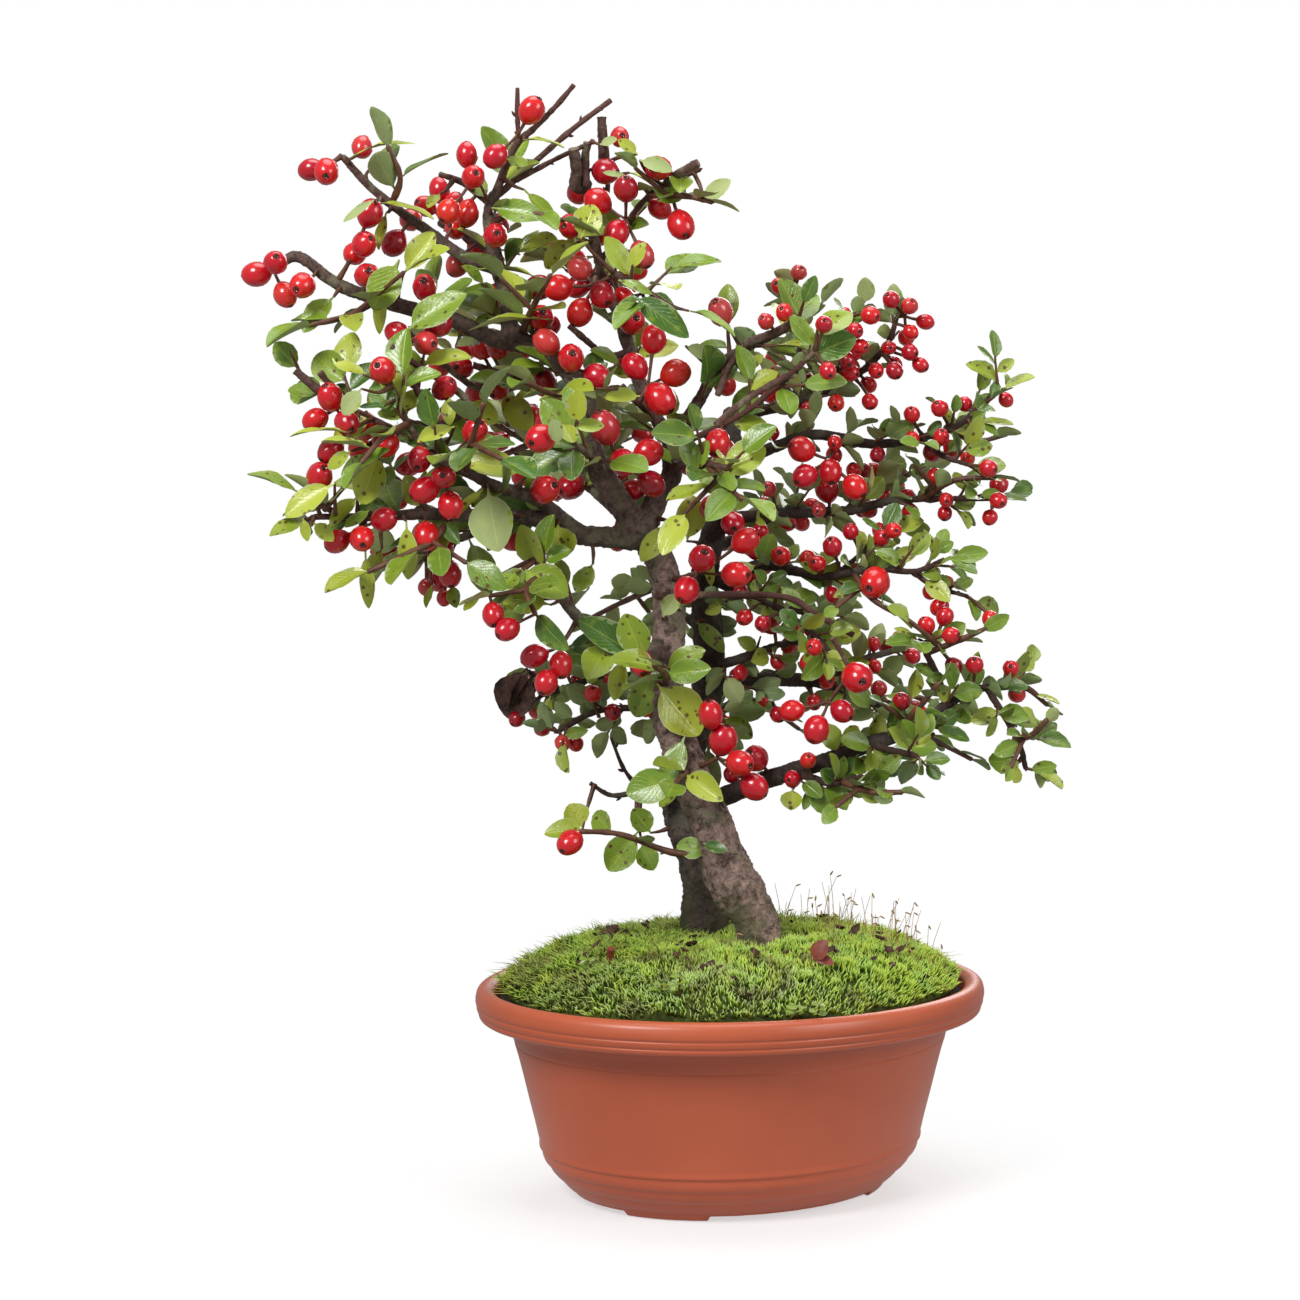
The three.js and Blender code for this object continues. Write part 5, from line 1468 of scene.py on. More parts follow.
# Berries that the bunches above don't hold: x and z as seen, and length.
MORE_BERRIES = [
    (-68, 174, 9), (-30, 174, 9), (8, 142, 9), (41, 169, 10), (47, 200.5, 11), (0, 220, 9), (-7, 225, 9),
    (16, 209, 8), (33, 212, 7), (31, 231, 9), (44, 233, 10), (-5, 246.5, 9), (-26, 244, 9),
    (-62, 266, 10), (-63, 248, 9), (-62, 231, 10), (-53, 232, 10), (-33, 286, 9), (-63, 287, 9),
    (-64, 297, 9), (-4, 289, 10), (-28, 305, 9), (-17, 318, 10), (-42, 335, 9), (-24, 336, 9),
    (-37, 346, 8), (-66, 354.5, 10), (-87, 321.5, 9), (-78, 314, 9), (-120, 301, 9), (-141, 298, 9),
    (-101, 297, 9), (-89, 271, 9), (-96, 272, 9), (-95, 264, 9), (-115, 270, 9), (-121, 252, 9),
    (-132, 244, 9), (-136, 235, 9), (-114, 246, 9), (-103, 241, 9), (-85, 250, 9), (-101, 216, 9),
    (-96, 211.5, 9), (-93, 203.5, 9), (-46, 163.5, 6), (-71, 155.5, 6), (-101, 199, 6), (-95, 195.5, 6),
    (0, 167, 6), (15, 157, 6), (27, 161, 6), (56, 161, 6), (62, 157, 6), (27, 179, 6), (25, 141.5, 6),
    (20, 135.5, 6), (72, 183, 6), (85, 188.5, 6), (80, 173, 6), (92, 172, 6), (4, 189, 6), (10, 187, 6),
    (49, 215, 6), (53, 217.5, 6), (39, 217, 6), (28, 206.5, 6), (15, 297.5, 6), (21.5, 302, 6),
    (25, 293.5, 6), (17, 289, 6), (30, 285, 6), (11, 286, 6), (45, 288, 6.5), (58, 276, 6),
    (61.5, 272, 6), (42, 278, 6), (37.5, 273.5, 6), (40, 283, 6), (47, 270, 6), (53, 270, 6),
    (31, 270, 6), (45, 260, 6), (34, 259.5, 6), (19, 259, 6), (59, 255.5, 6), (59, 247.5, 6),
    (68, 257.5, 6), (68.5, 248, 6), (79, 248.5, 6), (84, 238, 6), (87.5, 227.5, 6), (40, 237, 6),
    (12, 231, 6),
]
STALK_MOST = 17
REAR_FROM = -2
BERRY_STEPS = (-6, -10, 3, -14, 8, -19, 13, -24, 18)
# The upper left and the top of the front tree are nearly bare between the leaves that show.
SPARSE_LEFT = (-84, 268)
SPARSE_TOP = (-50, 322)
SPARSE_SHARE = 0.85
LEAF_LOWEST = 108
CROWN_MARGIN = 5.0

wood_points, wood_radii = [], []
for one in ALL_LIMBS:
    steps = max(4, int(limb_length(one) / 3))
    for i, ring in enumerate(rings(one.points, steps)):
        wood_points.append(ring[0])
        wood_radii.append(radius_at(one.radii, i / steps))
wood_points, wood_radii = np.array(wood_points), np.array(wood_radii)


def as_seen(points):
    """Where places show in the upright plane through the pot's middle, as x and z."""
    points = np.atleast_2d(points)
    spread = (points[:, 1] - VIEW[1]) / -VIEW[1]
    return np.stack([VIEW[i] + (points[:, i] - VIEW[i]) / spread for i in (0, 2)], axis=1)


wood_seen = as_seen(wood_points)
crown_low = (np.array(cad_bounds[0]) - POT_CENTRE) / MM - CROWN_MARGIN
crown_high = (np.array(cad_bounds[1]) - POT_CENTRE) / MM + CROWN_MARGIN


def off_wood(place, gap):
    return bool((np.linalg.norm(wood_points - place, axis=1) > wood_radii + gap).all())


def wood_depth(x, z):
    """The depth of the wood that is nearest to a place as seen."""
    away = np.linalg.norm(wood_seen - (x, z), axis=1) + wood_points[:, 1] * 0.1
    return float(wood_points[int(np.argmin(away)), 1])


def leaf_fits(one):
    tip = leaf_tip(one)
    if tip[2] < LEAF_LOWEST or (tip < crown_low).any() or (tip > crown_high).any():
        return False
    return (room.clear_of_berries(one) and room.clear_of_blades(one)
            and all(off_wood(place, 0.6) for place in room.samples(one)[1:]))


def photo_berries():
    """Seats the berries that show in front: near the wood behind them and clear of each other."""
    seated = []
    for k, (x, z, length) in enumerate(MORE_BERRIES):
        follow = draws(k * 37 + 11)
        length *= mix(1.08, 1.2, follow()) if length > LARGE_BERRY else mix(1.0, 1.1, follow())
        taken = as_seen(np.array([ball[:3] for ball in room.balls]))
        if (np.linalg.norm(taken - (x, z), axis=1) < BERRY_HALF * length).any():
            continue
        depth = wood_depth(x, z)
        for step in BERRY_STEPS:
            middle = seen((x, z, depth + step - 2 * follow()))
            gap = np.linalg.norm(wood_points - middle, axis=1) - wood_radii
            if room.ball_fits(middle, BERRY_HALF * length) and BERRY_CLEAR * length < gap.min() < STALK_MOST:
                seated.append((middle, length))
                room.ball(middle, BERRY_HALF * length)
                break
    return seated


def rear_berries():
    """Small bunches of berries on the sides and the back, which the photograph doesn't show."""
    seated = []
    for limb_number, one in enumerate(ALL_LIMBS):
        if one.leafy == 0:
            continue
        lengths = (8.5, 10) if limb_number < len(FRONT_LIMBS) else (5.5, 7)
        follow = draws(limb_number * 53 + 9)
        line = rings(one.points, max(3, int(limb_length(one) / 14)))
        for centre, along, across, side in line[1:]:
            if centre[1] < -4 and follow() > 0.35:
                continue
            for _ in range(1 + int(3 * follow())):
                out = around(across, side, TURN * follow()) + np.array([0, 0.35, 0])
                length = mix(*lengths, follow())
                middle = centre + unit(out) * (length * mix(0.75, 1.1, follow()))
                middle = middle + along * mix(-4, 4, follow())
                fits = room.ball_fits(middle, BERRY_HALF * length) and off_wood(middle, BERRY_CLEAR * length)
                if fits and middle[1] >= REAR_FROM:
                    seated.append((middle, length))
                    room.ball(middle, BERRY_HALF * length)
    return seated


def add_seated(name, seated):
    sheets = Sheets()
    for k, (middle, length) in enumerate(seated):
        root, start = rooted(ALL_LIMBS, middle, 0.6)
        follow = draws(k * 71 + 5)
        tilt = np.array([follow() - 0.5, -0.25, follow() - 0.75]) * 0.7
        axis = unit(unit(middle - root) + tilt)
        near = middle - axis * (STALK_END * length)
        bend_point = (start + near) / 2 - axis * 0.12 * length
        tube(sheets, [start, bend_point, near], [0.8, 0.55, 0.65], 6, 5, 2, end=0.2)
        sides, plump = (14, mix(0.88, 1.0, follow())) if length > LARGE_BERRY else (12, 1.04)
        add_berry(sheets, middle, axis, length, k + 900, sides=sides, plump=plump)
    put(sheets.build(name, BERRY_MATERIALS), "berry")


add_seated("berries_in_front", photo_berries())
add_seated("berries_behind", rear_berries())

# Leaves that show in front: base and tip as seen (x, z, x, z), width, arch and tone. The tones are yellow,
# green, dark and the pale underside, each with how old and how dark its leaf is.
LEAVES_IN_FRONT = [
    (-125.5, 339, -107.5, 342.5, 5, 0.45, "y"), (-116.5, 324.5, -100, 319.5, 7.5, 0.35, "y"),
    (-117.5, 325.5, -127.5, 318.5, 3.5, 0.1, "p"), (-96, 327.5, -100, 323, 4.5, 0.1, "y"),
    (-113.5, 321.5, -116, 309.5, 4, 0.15, "y"), (-108, 301.5, -98, 315, 8.5, 0.1, "y"),
    (-109.5, 306, -118, 290, 11.5, 0.12, "g"), (-115.5, 298.5, -116, 282, 4.5, 0.1, "y"),
    (-107.5, 282.5, -88, 294.5, 11, 0.2, "g"), (-131, 294, -141, 282.5, 8.5, 0.1, "g"),
    (-92, 316.5, -82, 310.5, 6, 0.3, "y"), (-79, 323, -62, 319.5, 8.5, 0.15, "g"),
    (-68.5, 329, -58, 316.5, 5.5, 0.2, "g"), (-74.5, 339, -67, 337, 4.5, 0.1, "g"),
    (-68.5, 345, -57, 342.5, 4.5, 0.4, "y"), (-63.5, 300, -83, 302, 5.5, 0.35, "y"),
    (-59.5, 286.5, -84.5, 283, 7, 0.3, "y"), (-55, 303, -65.5, 311.5, 6, 0.2, "y"),
    (-51, 312, -61.5, 303.5, 9, 0.1, "y"), (-50, 313, -45.5, 324, 10, 0.1, "y"),
    (-43.5, 343.5, -38, 345.5, 3.5, 0.1, "p"), (-31.5, 340.5, -37.5, 345, 4.5, 0.2, "y"),
    (-30.5, 338.5, -20, 335, 5.5, 0.15, "p"), (-34, 334.5, -25.5, 329, 5, 0.3, "y"),
    (-34, 332.5, -42.5, 334.5, 2.5, 0.1, "p"), (-24.5, 325, -15.5, 329, 7, 0.1, "g"),
    (-10, 325, -1, 332, 6.5, 0.15, "p"), (-39, 309.5, -41, 301, 4, 0.1, "g"),
    (-37.5, 299.5, -27, 295, 3.5, 0.25, "g"), (-33, 294.5, -15.5, 281.5, 8.5, 0.25, "d"),
    (-14.5, 289.5, -1, 281.5, 5, 0.35, "g"), (-105, 270, -119.5, 259.5, 10, 0.2, "y"),
    (-122, 264, -128, 255.5, 6.5, 0.1, "p"), (-126.5, 249.5, -143, 248, 6, 0.4, "y"),
    (-114.5, 258.5, -122.5, 258, 2.5, 0.2, "d"), (-99.5, 264, -110, 255.5, 7, 0.1, "y"),
    (-92, 277, -98, 280, 3.5, 0.15, "p"), (-91, 278, -85, 280.5, 3.5, 0.1, "p"),
    (-83, 262.5, -64, 267.5, 7.5, 0.25, "d"), (-76.5, 252.5, -87, 258.5, 9, 0.1, "y"),
    (-75.5, 262, -66.5, 250.5, 10, 0.1, "y"), (-93, 261.5, -93, 252, 5, 0.1, "y"),
    (-91.5, 251.5, -103.5, 246.5, 5.5, 0.15, "y"), (-125.5, 243.5, -133, 238, 5, 0.15, "y"),
    (-119, 242.5, -128.5, 235.5, 6, 0.15, "g"), (-116, 243.5, -122, 226, 11, 0.08, "y"),
    (-131, 233, -147, 222, 9, 0.12, "y"), (-123.5, 228.5, -132.5, 219, 6, 0.12, "y"),
    (-110, 231, -114.5, 219.5, 7, 0.1, "g"), (-119.5, 224, -127.5, 218.5, 5, 0.15, "g"),
    (-107.5, 220.5, -107, 202, 6.5, 0.15, "y"), (-121, 210.5, -120, 192.5, 5, 0.2, "y"),
    (-115.5, 211.5, -120, 202, 5.5, 0.15, "y"), (-82, 231, -92.5, 221, 3, 0.15, "y"),
    (-80.5, 231.5, -77, 210.5, 14.5, 0.05, "p"), (-95, 220.5, -90, 213, 5, 0.1, "d"),
    (-87, 215, -80, 196.5, 10.5, 0.12, "g"), (-67, 237, -88.5, 240, 9, 0.12, "y"),
    (-141.5, 221.5, -140, 214, 3.5, 0.1, "y"), (-138, 220, -131.5, 214, 5, 0.1, "y"),
    (-92.5, 199.5, -91, 192, 5, 0.1, "g"), (-99, 199.5, -101, 192, 3, 0.1, "y"),
    (-83, 196.5, -88.5, 191, 4, 0.1, "y"), (-59.5, 255, -57.5, 246.5, 5, 0.1, "p"),
    (-56, 252.5, -52, 246.5, 5.5, 0.1, "y"), (-52.5, 267.5, -45, 261, 4.5, 0.1, "p"),
    (-30.5, 261.5, -42, 261, 5.5, 0.12, "y"), (-48, 232, -39, 242, 7, 0.1, "g"),
    (-62, 240.5, -56, 232.5, 5, 0.1, "p"), (-15.5, 278, -7.5, 274, 5.5, 0.1, "p"),
    (3, 269, 10, 275, 4, 0.1, "y"), (-3.5, 269.5, 8, 265.5, 3.5, 0.15, "p"),
    (-12, 237, -16.5, 249, 6.5, 0.08, "g"), (-12, 237.5, -8, 247, 6, 0.1, "g"),
    (-12, 237.5, 0, 229.5, 8.5, 0.15, "g"), (-6, 225, 5.5, 227.5, 6.5, 0.15, "g"),
    (-15, 214, -13, 229, 10.5, 0.06, "y"), (-20, 220, -30, 207.5, 7.5, 0.15, "y"),
    (-57.5, 219.5, -56.5, 208, 12, 0.08, "y"), (-69.5, 205, -54.5, 196, 11.5, 0.12, "g"),
    (-46, 206.5, -51.5, 197, 7.5, 0.08, "g"), (-71.5, 203.5, -76, 198, 8.5, 0.1, "g"),
    (-60, 193, -76, 195.5, 11.5, 0.12, "y"), (-9, 211, -7, 199.5, 4, 0.15, "y"),
    (-17, 191.5, -19, 196.5, 5.5, 0.1, "p"), (-31.5, 176, -50.5, 188, 10, 0.12, "d"),
    (-29, 174.5, -35.5, 190, 11, 0.1, "g"), (-22, 172, -9, 178, 8, 0.12, "g"),
    (-26.5, 170, -32, 156, 10.5, 0.06, "g"), (-19.5, 170, -27, 170, 4, 0.1, "d"),
    (-25, 167, -11, 150, 15.5, 0.08, "y"), (-36, 175, -39, 161.5, 6.5, 0.1, "y"),
    (-15.5, 150, -22.5, 131.5, 8.5, 0.1, "g"), (-7.5, 147, -10, 127.5, 12.5, 0.08, "p"),
    (-18, 132, -24, 126, 5, 0.08, "g"), (-49.5, 119, -54, 127, 9.5, 0.08, "y"),
    (-31, 118, -41, 105, 11, 0.08, "g"), (-27, 117.5, -33, 125.5, 8, 0.06, "g"),
    (-30, 114, -26, 105, 8, 0.06, "g"), (-8.5, 111.5, -18.5, 113, 7.5, 0.08, "g"),
    (-9.5, 114, -1.5, 111.5, 4, 0.1, "d"), (-23, 189, -18.5, 196.5, 6, 0.06, "p"),
    (-12, 187.5, -3, 177.5, 6, 0.15, "g"), (-3, 155.5, 6.5, 149, 7.5, 0.12, "g"),
    (20, 132, 19.5, 125, 7.5, 0.06, "y"), (16, 199, 23, 192, 5, 0.15, "g"),
    (-60, 163, -63, 151, 5.5, 0.15, "y"),
]
LEAF_TONES = {"y": (0.9, 0.15), "g": (0.42, 0.3), "d": (0.05, 0.95), "p": (0.5, 0.2)}
EDGE_ON_FROM = 0.28
LEAF_DEPTHS = (-5, -8, -11, -14, -18, -2, -23, -28)


def leaf_between(x, z, tip_x, tip_z, width, arch, depth, tilt):
    """A leaf that reaches from one place to another as seen, and faces the viewer unless it is edge-on."""
    base = seen((x, z, depth))
    run = seen((tip_x, tip_z, depth + tilt)) - base
    face = np.array([0, -0.25, 1.0]) if arch > EDGE_ON_FROM else np.array([0.1 * tilt, -1.0, 0.45])
    for _ in range(3):
        face = unit(face - run * float(face @ run) / float(run @ run))
        length = float(np.linalg.norm(run + face * (arch * np.linalg.norm(run))))
        along = unit(run + face * (arch * length))
        face = square_to(face, along)
    return leaf(base, along, face, length, width, arch)


# Berries on the thin shoots: x and z as seen, length and ripeness.
SHOOT_BERRIES = [(-53.5, 114.5, 10, 0.3), (-79, 190, 9, 0.5), (-74, 185, 9, 0.6), (-2, 154, 7, 0.1)]


def berries_on_shoots():
    sheets = Sheets()
    centres = np.array([centre for one in shoot_limbs for centre in one.axis])
    centres_seen = as_seen(centres)
    for k, (x, z, length, ripe) in enumerate(SHOOT_BERRIES):
        depth = float(centres[int(np.argmin(np.linalg.norm(centres_seen - (x, z), axis=1))), 1])
        middle = seen((x, z, depth - 2))
        for step in range(7):
            if room.ball_fits(middle, BERRY_HALF * length):
                break
            middle = seen((x, z, depth - 4 - 2 * step))
        root, start = rooted(shoot_limbs, middle, 0.4)
        axis = unit(unit(middle - root) + np.array([0, -0.5, -0.1]))
        near = middle - axis * (STALK_END * length)
        tube(sheets, [start, (start + near) / 2, near], [0.6, 0.5, 0.6], 6, 5, 2, end=0.2)
        add_berry(sheets, middle, axis, length, k + 1900, plump=0.93, ripe=ripe, wrinkle=0.02)
        room.ball(middle, BERRY_HALF * length)
    put(sheets.build("berries_on_shoots", BERRY_MATERIALS), "berry")


berries_on_shoots()


def leaves_in_front():
    sheets = Sheets()
    for k, (x, z, tip_x, tip_z, width, arch, tone) in enumerate(LEAVES_IN_FRONT):
        follow = draws(k * 41 + 7)
        tilt = mix(-5, 3, follow())
        depth = wood_depth(x, z)
        for step in LEAF_DEPTHS:
            one = leaf_between(x, z, tip_x, tip_z, width, arch, depth + step, tilt)
            clear = all(off_wood(place, 0.8) for place in room.samples(one))
            if clear and room.clear_of_berries(one, 0.2) and room.clear_of_blades(one, 0.12):
                break
        room.blade(one)
        _, start = rooted(ALL_LIMBS, one.base, 0.6)
        bow = np.array([follow() - 0.5, 0, follow() - 0.7]) * 0.2 * np.linalg.norm(one.base - start)
        line = [start, (start + one.base) / 2 + bow, one.base]
        tube(sheets, line, [0.9, 0.6, 0.4], 6, 6, 2, lumps=0.3, seed=k + 70)
        age, shade = LEAF_TONES[tone]
        tint = (follow(), min(1, max(0, age + 0.16 * (follow() - 0.5))), shade, 0)
        add_leaf(sheets, one, k + 5000, (1, 0) if tone == "p" else (0, 1), tint)
    put(sheets.build("leaves_in_front", [*LARGE_TOPS, MATERIALS["stem"]]), "large_leaf")


leaves_in_front()

# Cut twigs that stand bare among the leaves: radius, and points as seen from the tip to the wood.
CUT_TWIGS = [
    (1.3, (-143.7, 270), (-129, 258.5)), (1.1, (-135.7, 269.5), (-128.3, 262)),
    (1.1, (-112.2, 278.1), (-102.7, 271), (-86.6, 259.1)),
    (1.1, (-106.3, 282.3), (-91.4, 269.2), (-83.7, 264.4)), (1.0, (-106, 267.7), (-96.8, 252.5)),
    (1.0, (-36.5, 265), (-17.5, 247.2)), (1.1, (-53.8, 284.7), (-41.3, 274.5)),
    (1.1, (-5.6, 252.2), (16.3, 267.4)), (1.5, (-43, 352.6), (-42.5, 338)),
    (1.8, (-52.2, 342.3), (-51.6, 330)), (1.3, (-47.6, 344.3), (-48.3, 331)),
    (1.4, (-11.4, 337.7), (-21.3, 331.8)), (1.3, (22.3, 287.3), (5, 279)), (1.1, (-5, 262), (3, 277)),
    (1.0, (40, 183), (15, 196), (-22, 196)), (0.8, (33, 182), (40, 168)),
]


def cut_twigs():
    sheets = Sheets()
    for k, (radius, *points) in enumerate(CUT_TWIGS):
        follow = draws(k * 29 + 3)
        depth = wood_depth(*points[-1]) - 3
        tip_depth = depth - 3 - 6 * follow()
        last = len(points) - 1
        places = [seen((x, z, mix(tip_depth, depth, i / last))) for i, (x, z) in enumerate(points)]
        _, start = rooted(ALL_LIMBS, places[-1], 1.2)
        line = [start, *reversed(places)]
        line.insert(len(line) - 1, (line[-1] + line[-2]) / 2 + wander(follow) * 2)
        tube(sheets, line, [radius * 1.1, radius, radius], 8, 24, end=0.15, lumps=0.25, seed=k + 40, cut=1.0)
        for place in places:
            room.ball(place, radius)
    put(sheets.build("cut_twigs", [MATERIALS["front_bark"]]), "front_bark")


cut_twigs()


def turned_outwards(one, follow):
    """The same leaf with its face turned more to the outside of the crown and to the front."""
    along = one.along.copy()
    along[1] *= 0.55
    along = unit(along)
    outward = unit(one.base - CROWN_CENTRE)
    front = -0.75 if one.base[1] < 12 else 0.45
    face = square_to(np.array([0, front, 0.6]) + outward * 0.7 + wander(follow) * 0.9, along)
    return leaf(one.base, along, face, one.length, one.width * mix(1.0, 1.22, follow()), one.arch)


def spurs(name, limbs, seed, spacing, reach, leaf_range, counts, radii, tops, slot):
    """Short spurs in turn round the limbs, each with a few leaves."""
    sheets = Sheets()
    for limb_number, one in enumerate(limbs):
        if one.leafy == 0:
            continue
        length = limb_length(one)
        start = 0.3 if max(one.radii) > 3 else 0.12
        number = int(length * (1 - start) / spacing * one.leafy)
        steps = max(6, int(length / 2))
        line = rings(one.points, steps)
        for s in range(number + 1):
            follow = draws(seed * 1000 + limb_number * 61 + s * 7 + 3)
            share = min(1.0, start + (1 - start) * (s + 0.6 * follow()) / max(number, 1))
            centre, along, across, side = line[int(share * steps)]
            left = centre[0] < SPARSE_LEFT[0] and centre[2] > SPARSE_LEFT[1]
            right = SPARSE_TOP[0] < centre[0] < 0 and centre[2] > SPARSE_TOP[1]
            if (left or right) and follow() < SPARSE_SHARE:
                continue
            out = around(across, side, 2.4 * s + 0.8 * follow())
            out = unit(out + 0.45 * unit(centre - CROWN_CENTRE) + 0.2 * UP + 0.5 * along)
            size = mix(*reach, follow())
            foot = centre + out * radius_at(one.radii, share) * 0.5
            bow = np.array([follow() - 0.5, follow() - 0.5, follow() - 0.2]) * size * 0.4
            stem = [foot, foot + out * size * 0.5 + bow * 0.5, foot + out * size + bow]
            count = counts[0] + int((counts[1] - counts[0] + 1) * follow())
            leaves = []
            for index in range(count):
                for attempt in range(3):
                    leaf_seed = seed * 31 + limb_number * 50 + s
                    drawn = draw_leaf(leaf_range, stem, leaf_seed, index, count, attempt)
                    drawn = turned_outwards(drawn, follow)
                    if leaf_fits(drawn):
                        leaves.append(drawn)
                        room.blade(drawn)
                        break
            if leaves:
                tube(sheets, stem, radii, 6, 6, 2, end=1.5, lumps=0.3, seed=seed + s)
            for k, drawn in enumerate(leaves):
                add_leaf(sheets, drawn, seed * 977 + limb_number * 400 + s * 9 + k)
    put(sheets.build(name, [*tops, MATERIALS["stem"]]), slot)


spurs("front_spurs", FRONT_LIMBS, 11, 9.0, (4, 12), (9, 17), (2, 4), [0.75, 0.55, 0.4],
      LARGE_TOPS, "large_leaf")
spurs("back_spurs", BACK_LIMBS, 12, 5.5, (3, 10), (6.5, 12), (3, 5), [0.6, 0.45, 0.35],
      SMALL_TOPS, "small_leaf")

# Litter and small growth on the moss

STALK_SPOTS = ((46, 4, 40), (30, 20, 26), (60, -6, 22), (0, -40, 7))
PEBBLES = 110
SEEDLINGS = [(-24, -62, 5.5), (-19, -64, 7.5), (17, -66, 5), (23, -65, 6.5), (-46, -42, 5)]
SEEDLING_LEAVES = 5
CHIP_CORNERS = 7
# Larger chips: where each lies, and its size.
CHIPS = [
    (-40, 2, 3.2), (-35, -3, 2.6), (-44, -6, 2.0), (-28, 5, 2.4), (30, -34, 2.2), (6, -40, 1.8),
    (-14, -30, 2.2), (48, -12, 2.4), (54, -16, 2.8), (50, -22, 2.2), (40, -6, 2.4), (36, 0, 2.0),
    (58, -10, 2.0),
]


def oval_radius(x, y):
    """The radius along the pot's long axis of the oval through a place."""
    turned_x = x * math.cos(POT_TURN) + y * math.sin(POT_TURN)
    turned_y = -x * math.sin(POT_TURN) + y * math.cos(POT_TURN)
    radius = math.hypot(turned_x, turned_y)
    for _ in range(8):
        across = radius - min(OVAL_DIFFERENCE, radius * 0.2)
        radius = radius * math.hypot(turned_x / radius, turned_y / across)
    return radius


def on_moss(x, y, rise=0.0):
    """A place on the moss, in millimetres about the pot's foot."""
    radius = np.array([oval_radius(x, y)])
    height = moss_height(radius, np.array([x]), np.array([y]))[0]
    return np.array([x, y, height + rise])


def chip(sheets, x, y, size, turn, seed, rise, tall=0.4):
    """A flat broken chip that lies in the tips of the moss."""
    follow = draws(seed)
    middle = on_moss(x, y, rise)
    tilt_x, tilt_y = 1.6 * (follow() - 0.5), 1.6 * (follow() - 0.5)
    corners, places = [], []
    for level in (-1, 1):
        for k in range(CHIP_CORNERS):
            angle = turn + 2 * math.pi * k / CHIP_CORNERS
            reach = size * mix(0.45, 1.1, follow())
            flat_x, flat_y = math.cos(angle) * reach, math.sin(angle) * reach * 0.7
            lift = flat_x * tilt_x + flat_y * tilt_y + level * size * tall * mix(0.3, 1.0, follow())
            corners.append(middle + np.array([flat_x, flat_y, lift]))
            places.append((k / CHIP_CORNERS, (level + 1) / 2, 0, 0))
    faces = [tuple(reversed(range(CHIP_CORNERS))), tuple(range(CHIP_CORNERS, 2 * CHIP_CORNERS))]
    faces += grid_faces(2, CHIP_CORNERS, closed=True)
    sheets.add(corners, faces, [0] * len(faces), places, [BLANK] * len(corners))


def moss_stalks(sheets, slot):
    """Fine upright stalks with small capsules."""
    spots = [(x, y) for x, y, count in STALK_SPOTS for _ in range(count)]
    for number, (x, y) in enumerate(spots):
        follow = draws(number * 13 + 5)
        angle, away = TURN * follow(), 17 * math.sqrt(follow())
        x, y = x + away * math.cos(angle), y + away * math.sin(angle)
        if oval_radius(x, y) > MOSS_REACH - 3 or math.hypot(x - 8, y + 16) < 14:
            continue
        foot = on_moss(x, y, -0.4)
        tall = mix(5, 17, follow() ** 1.6)
        lean = np.array([follow() - 0.35, follow() - 0.5, 0]) * 0.5
        tip = foot + (UP + lean) * tall
        bow = foot + (tip - foot) * 0.5 - lean * tall * 0.2
        tube(sheets, [foot, bow, tip], [0.13, 0.1, 0.08], 5, 6, slot, end=0.5)
        if follow() > 0.55:
            nod = unit(lean * 1.6 + np.array([0.2, 0, 0.35 - follow()]))
            tube(sheets, [tip, tip + nod * 0.8, tip + nod * 1.9], [0.12, 0.34, 0.16], 6, 5, slot)


def seedlings(sheets):
    """Small creeping shoots with round leaves over the edge of the moss."""
    for k, (x, y, tall) in enumerate(SEEDLINGS):
        follow = draws(k * 19 + 3)
        foot = on_moss(x, y, -0.3)
        lean = np.array([0.5 * (follow() - 0.5), -0.5, 1.0])
        tip = foot + unit(lean) * tall
        tube(sheets, [foot, (foot + tip) / 2 + np.array([0.5, 0.3, 0]), tip], [0.4, 0.3, 0.25], 5, 5, 2)
        for index in range(SEEDLING_LEAVES):
            angle = 2.4 * index + follow()
            base = foot + (tip - foot) * (0.45 + 0.14 * index)
            out = unit(np.array([math.cos(angle), math.sin(angle) * 0.6, 0.15]))
            face = square_to(np.array([0, -0.7, 0.8]), out)
            small = leaf(base, out, face, mix(2.4, 3.6, follow()), mix(1.9, 2.6, follow()), 0.15)
            add_leaf(sheets, small, k * 9 + index, (0, 1), (0.5, 0.35, 0.2, 0))


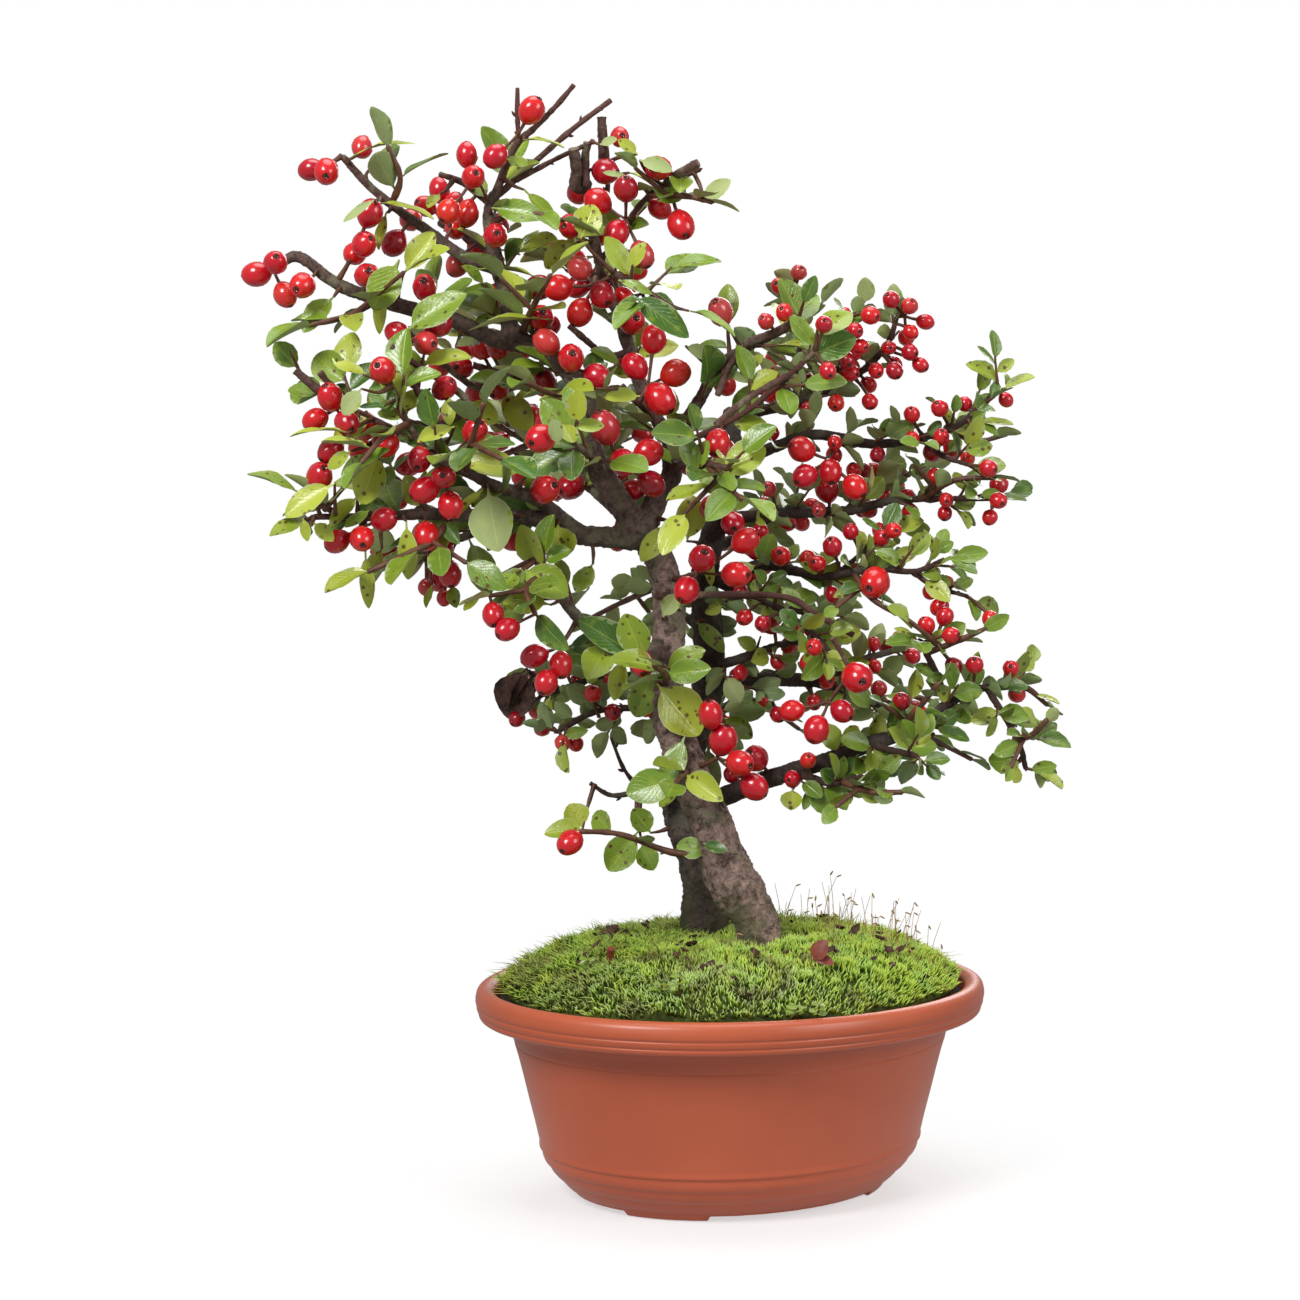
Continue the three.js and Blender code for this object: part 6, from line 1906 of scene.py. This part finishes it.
def litter_pieces():
    """Chips, a cut stub and a fallen red leaf in two parts."""
    debris = Sheets()
    for k in range(PEBBLES):
        follow = draws(k * 23 + 9)
        radius, angle = 74 * math.sqrt(follow()), TURN * follow()
        x, y = oval(radius, angle)
        if all(math.hypot(x - foot[0], y - foot[1]) > away + 1 for foot, away in TRUNK_FEET):
            size, turn = mix(0.7, 1.9, follow() ** 2), TURN * follow()
            chip(debris, float(x), float(y), size, turn, k + 3, mix(0.9, 2.0, follow()))
    for k, (x, y, size) in enumerate(CHIPS):
        chip(debris, x, y, size, k * 1.1, k + 200, 2.6, 0.3)
    stub = on_moss(-40, -38, 0.8)
    line = [stub, stub + np.array([0.3, -1.0, 2.8]), stub + np.array([0.5, -2.2, 5.4])]
    tube(debris, line, [1.1, 1.1, 1.2], 9, 6, 2, end=0.1, lumps=0.2)
    fallen = on_moss(24, -46, 3.6)
    halves = (((0, 0, 0), (0.45, -0.3, 0.9), 6.0), ((0.5, 0, 0), (0.9, -0.5, 0.1), 5.0))
    for k, (shift, out, width) in enumerate(halves):
        along = unit(np.array(out))
        face = square_to(np.array([0.2, -0.6, 0.8]), along)
        half = leaf(fallen + np.array(shift), along, face, 7.5 - 1.5 * k, width, 0.3)
        add_leaf(debris, half, 77 + k, (2, 2))
    materials = [MATERIALS[key] for key in ("litter", "dead_leaf", "red_leaf")]
    put(debris.build("litter_pieces", materials), "moss")


def small_growth():
    growth = Sheets()
    moss_stalks(growth, 3)
    seedlings(growth)
    put(growth.build("small_growth", [*SMALL_TOPS, MATERIALS["stem"], MATERIALS["moss_stalk"]]), "moss")


litter_pieces()
small_growth()

# The curled blades of the withered leaf: base and tip as seen, width, arch and the way the blade faces.
WITHERED_BLADES = [
    ((-67, 171.5), (-75.5, 156), 15.5, 0.22, (-0.25, -1.0, 0.25)),
    ((-66, 171), (-70, 155.5), 9.0, 0.4, (0.9, -0.6, 0.2)),
    ((-68, 172), (-78.5, 160), 8.0, 0.35, (-0.9, -0.5, 0.5)),
]


def withered_leaf():
    """A withered leaf, cupped and dark, that hangs in front of the lowest branch on the left."""
    sheets = Sheets()
    depth = wood_depth(-70, 168) - 8
    for k, (start, end, width, arch, face) in enumerate(WITHERED_BLADES):
        base = seen((*start, depth + 0.4 * k))
        run = seen((*end, depth + 1.5 * k - 1)) - base
        along = unit(run)
        face = square_to(np.array(face), along)
        add_leaf(sheets, leaf(base, along, face, float(np.linalg.norm(run)), width, arch), 600 + k, (0, 0))
        _, foot = rooted(ALL_LIMBS, base, 0.6)
        tube(sheets, [foot, (foot + base) / 2 + np.array([0, 0, 0.8]), base], [0.7, 0.5, 0.4], 6, 6)
    put(sheets.build("withered_leaf", [MATERIALS["dead_leaf"]]), "large_leaf")


withered_leaf()

# The camera stands where the photograph was taken from, and looks a little down.
CAMERA_PITCH = math.radians(2.5)
CAMERA_LENS = 69.23
SENSOR_WIDTH = 36
CLIP_START = 0.05
STUDIO_WHITE = 1.0
STUDIO_AMBIENT = 0.36
FLOOR_HALF = 1.2
FLOOR_GAP = 0.0002
FLOOR_FADE = (0.05, 0.19)
FLOOR_SHARE = 0.42
camera_data = bpy.data.cameras.new("camera")
camera_data.lens = CAMERA_LENS
camera_data.sensor_width = SENSOR_WIDTH
camera_data.clip_start = CLIP_START
camera = bpy.data.objects.new("camera", camera_data)
camera.location = metres(VIEW)
camera.rotation_euler = (math.pi / 2 - CAMERA_PITCH, 0, 0)
bpy.context.scene.collection.objects.link(camera)
bpy.context.scene.camera = camera


def add_area(name, place, target, size, energy):
    """A soft area light, with its place and target in millimetres about the pot's foot."""
    light = bpy.data.lights.new(name, "AREA")
    light.shape = "DISK"
    light.size = size
    light.energy = energy
    lamp = bpy.data.objects.new(name, light)
    lamp.location = metres(place)
    lamp.rotation_euler = Vector(metres(target) - metres(place)).to_track_quat("-Z", "Y").to_euler()
    bpy.context.scene.collection.objects.link(lamp)


add_area("key", (-520, -760, 800), (-20, 0, 190), 0.4, 9.5)
add_area("fill", (720, -560, 520), (0, 0, 170), 0.5, 3.6)
add_area("top", (0, 60, 1300), (-10, 0, 150), 0.9, 7.5)
add_area("back", (260, 800, 620), (0, 0, 220), 0.6, 4.0)

# The studio is white behind the trees and dimmer as a source of light.
world = bpy.data.worlds.new("studio")
world.use_nodes = True
sky = Steps(world.node_tree)
backdrop = sky.tree.nodes["Background"]
sky.feed(backdrop.inputs["Color"], (1, 1, 1))
sky.feed(backdrop.inputs["Strength"], STUDIO_WHITE)
ambient = sky.node("Background", {"Color": (1, 1, 1), "Strength": STUDIO_AMBIENT})
seen_straight = sky.node("LightPath").outputs["Is Camera Ray"]
chosen = sky.node("MixShader", {0: seen_straight, 1: ambient.outputs[0], 2: backdrop.outputs[0]})
sky.feed(sky.tree.nodes["World Output"].inputs["Surface"], chosen.outputs[0])
bpy.context.scene.world = world
bpy.context.scene.view_settings.view_transform = "Standard"

# The floor is white paper that fades out round the pot's surroundings into the white studio.
ground = (POT_CENTRE[0], POT_CENTRE[1], POT_CENTRE[2] - FLOOR_GAP)
floor_mesh = bpy.data.meshes.new("floor")
corners = [(x * FLOOR_HALF + ground[0], y * FLOOR_HALF + ground[1], ground[2]) for x, y in SQUARE]
floor_mesh.from_pydata(corners, [], [(0, 1, 2, 3)])
floor = new_object("floor", floor_mesh)
paper = Surface("floor")
paper.colour = paper.ramp(paper.noise(3.0), [(0.3, (0.93, 0.93, 0.93)), (0.7, (0.95, 0.95, 0.95))])
away = paper.node("VectorMath", {0: paper.here(), 1: ground}, operation="DISTANCE").outputs["Value"]
fade = paper.maths("MULTIPLY_ADD", paper.band(away, *FLOOR_FADE), -FLOOR_SHARE, FLOOR_SHARE)
floor_mesh.materials.append(paper.done(0.9, 0.5, alpha=fade))
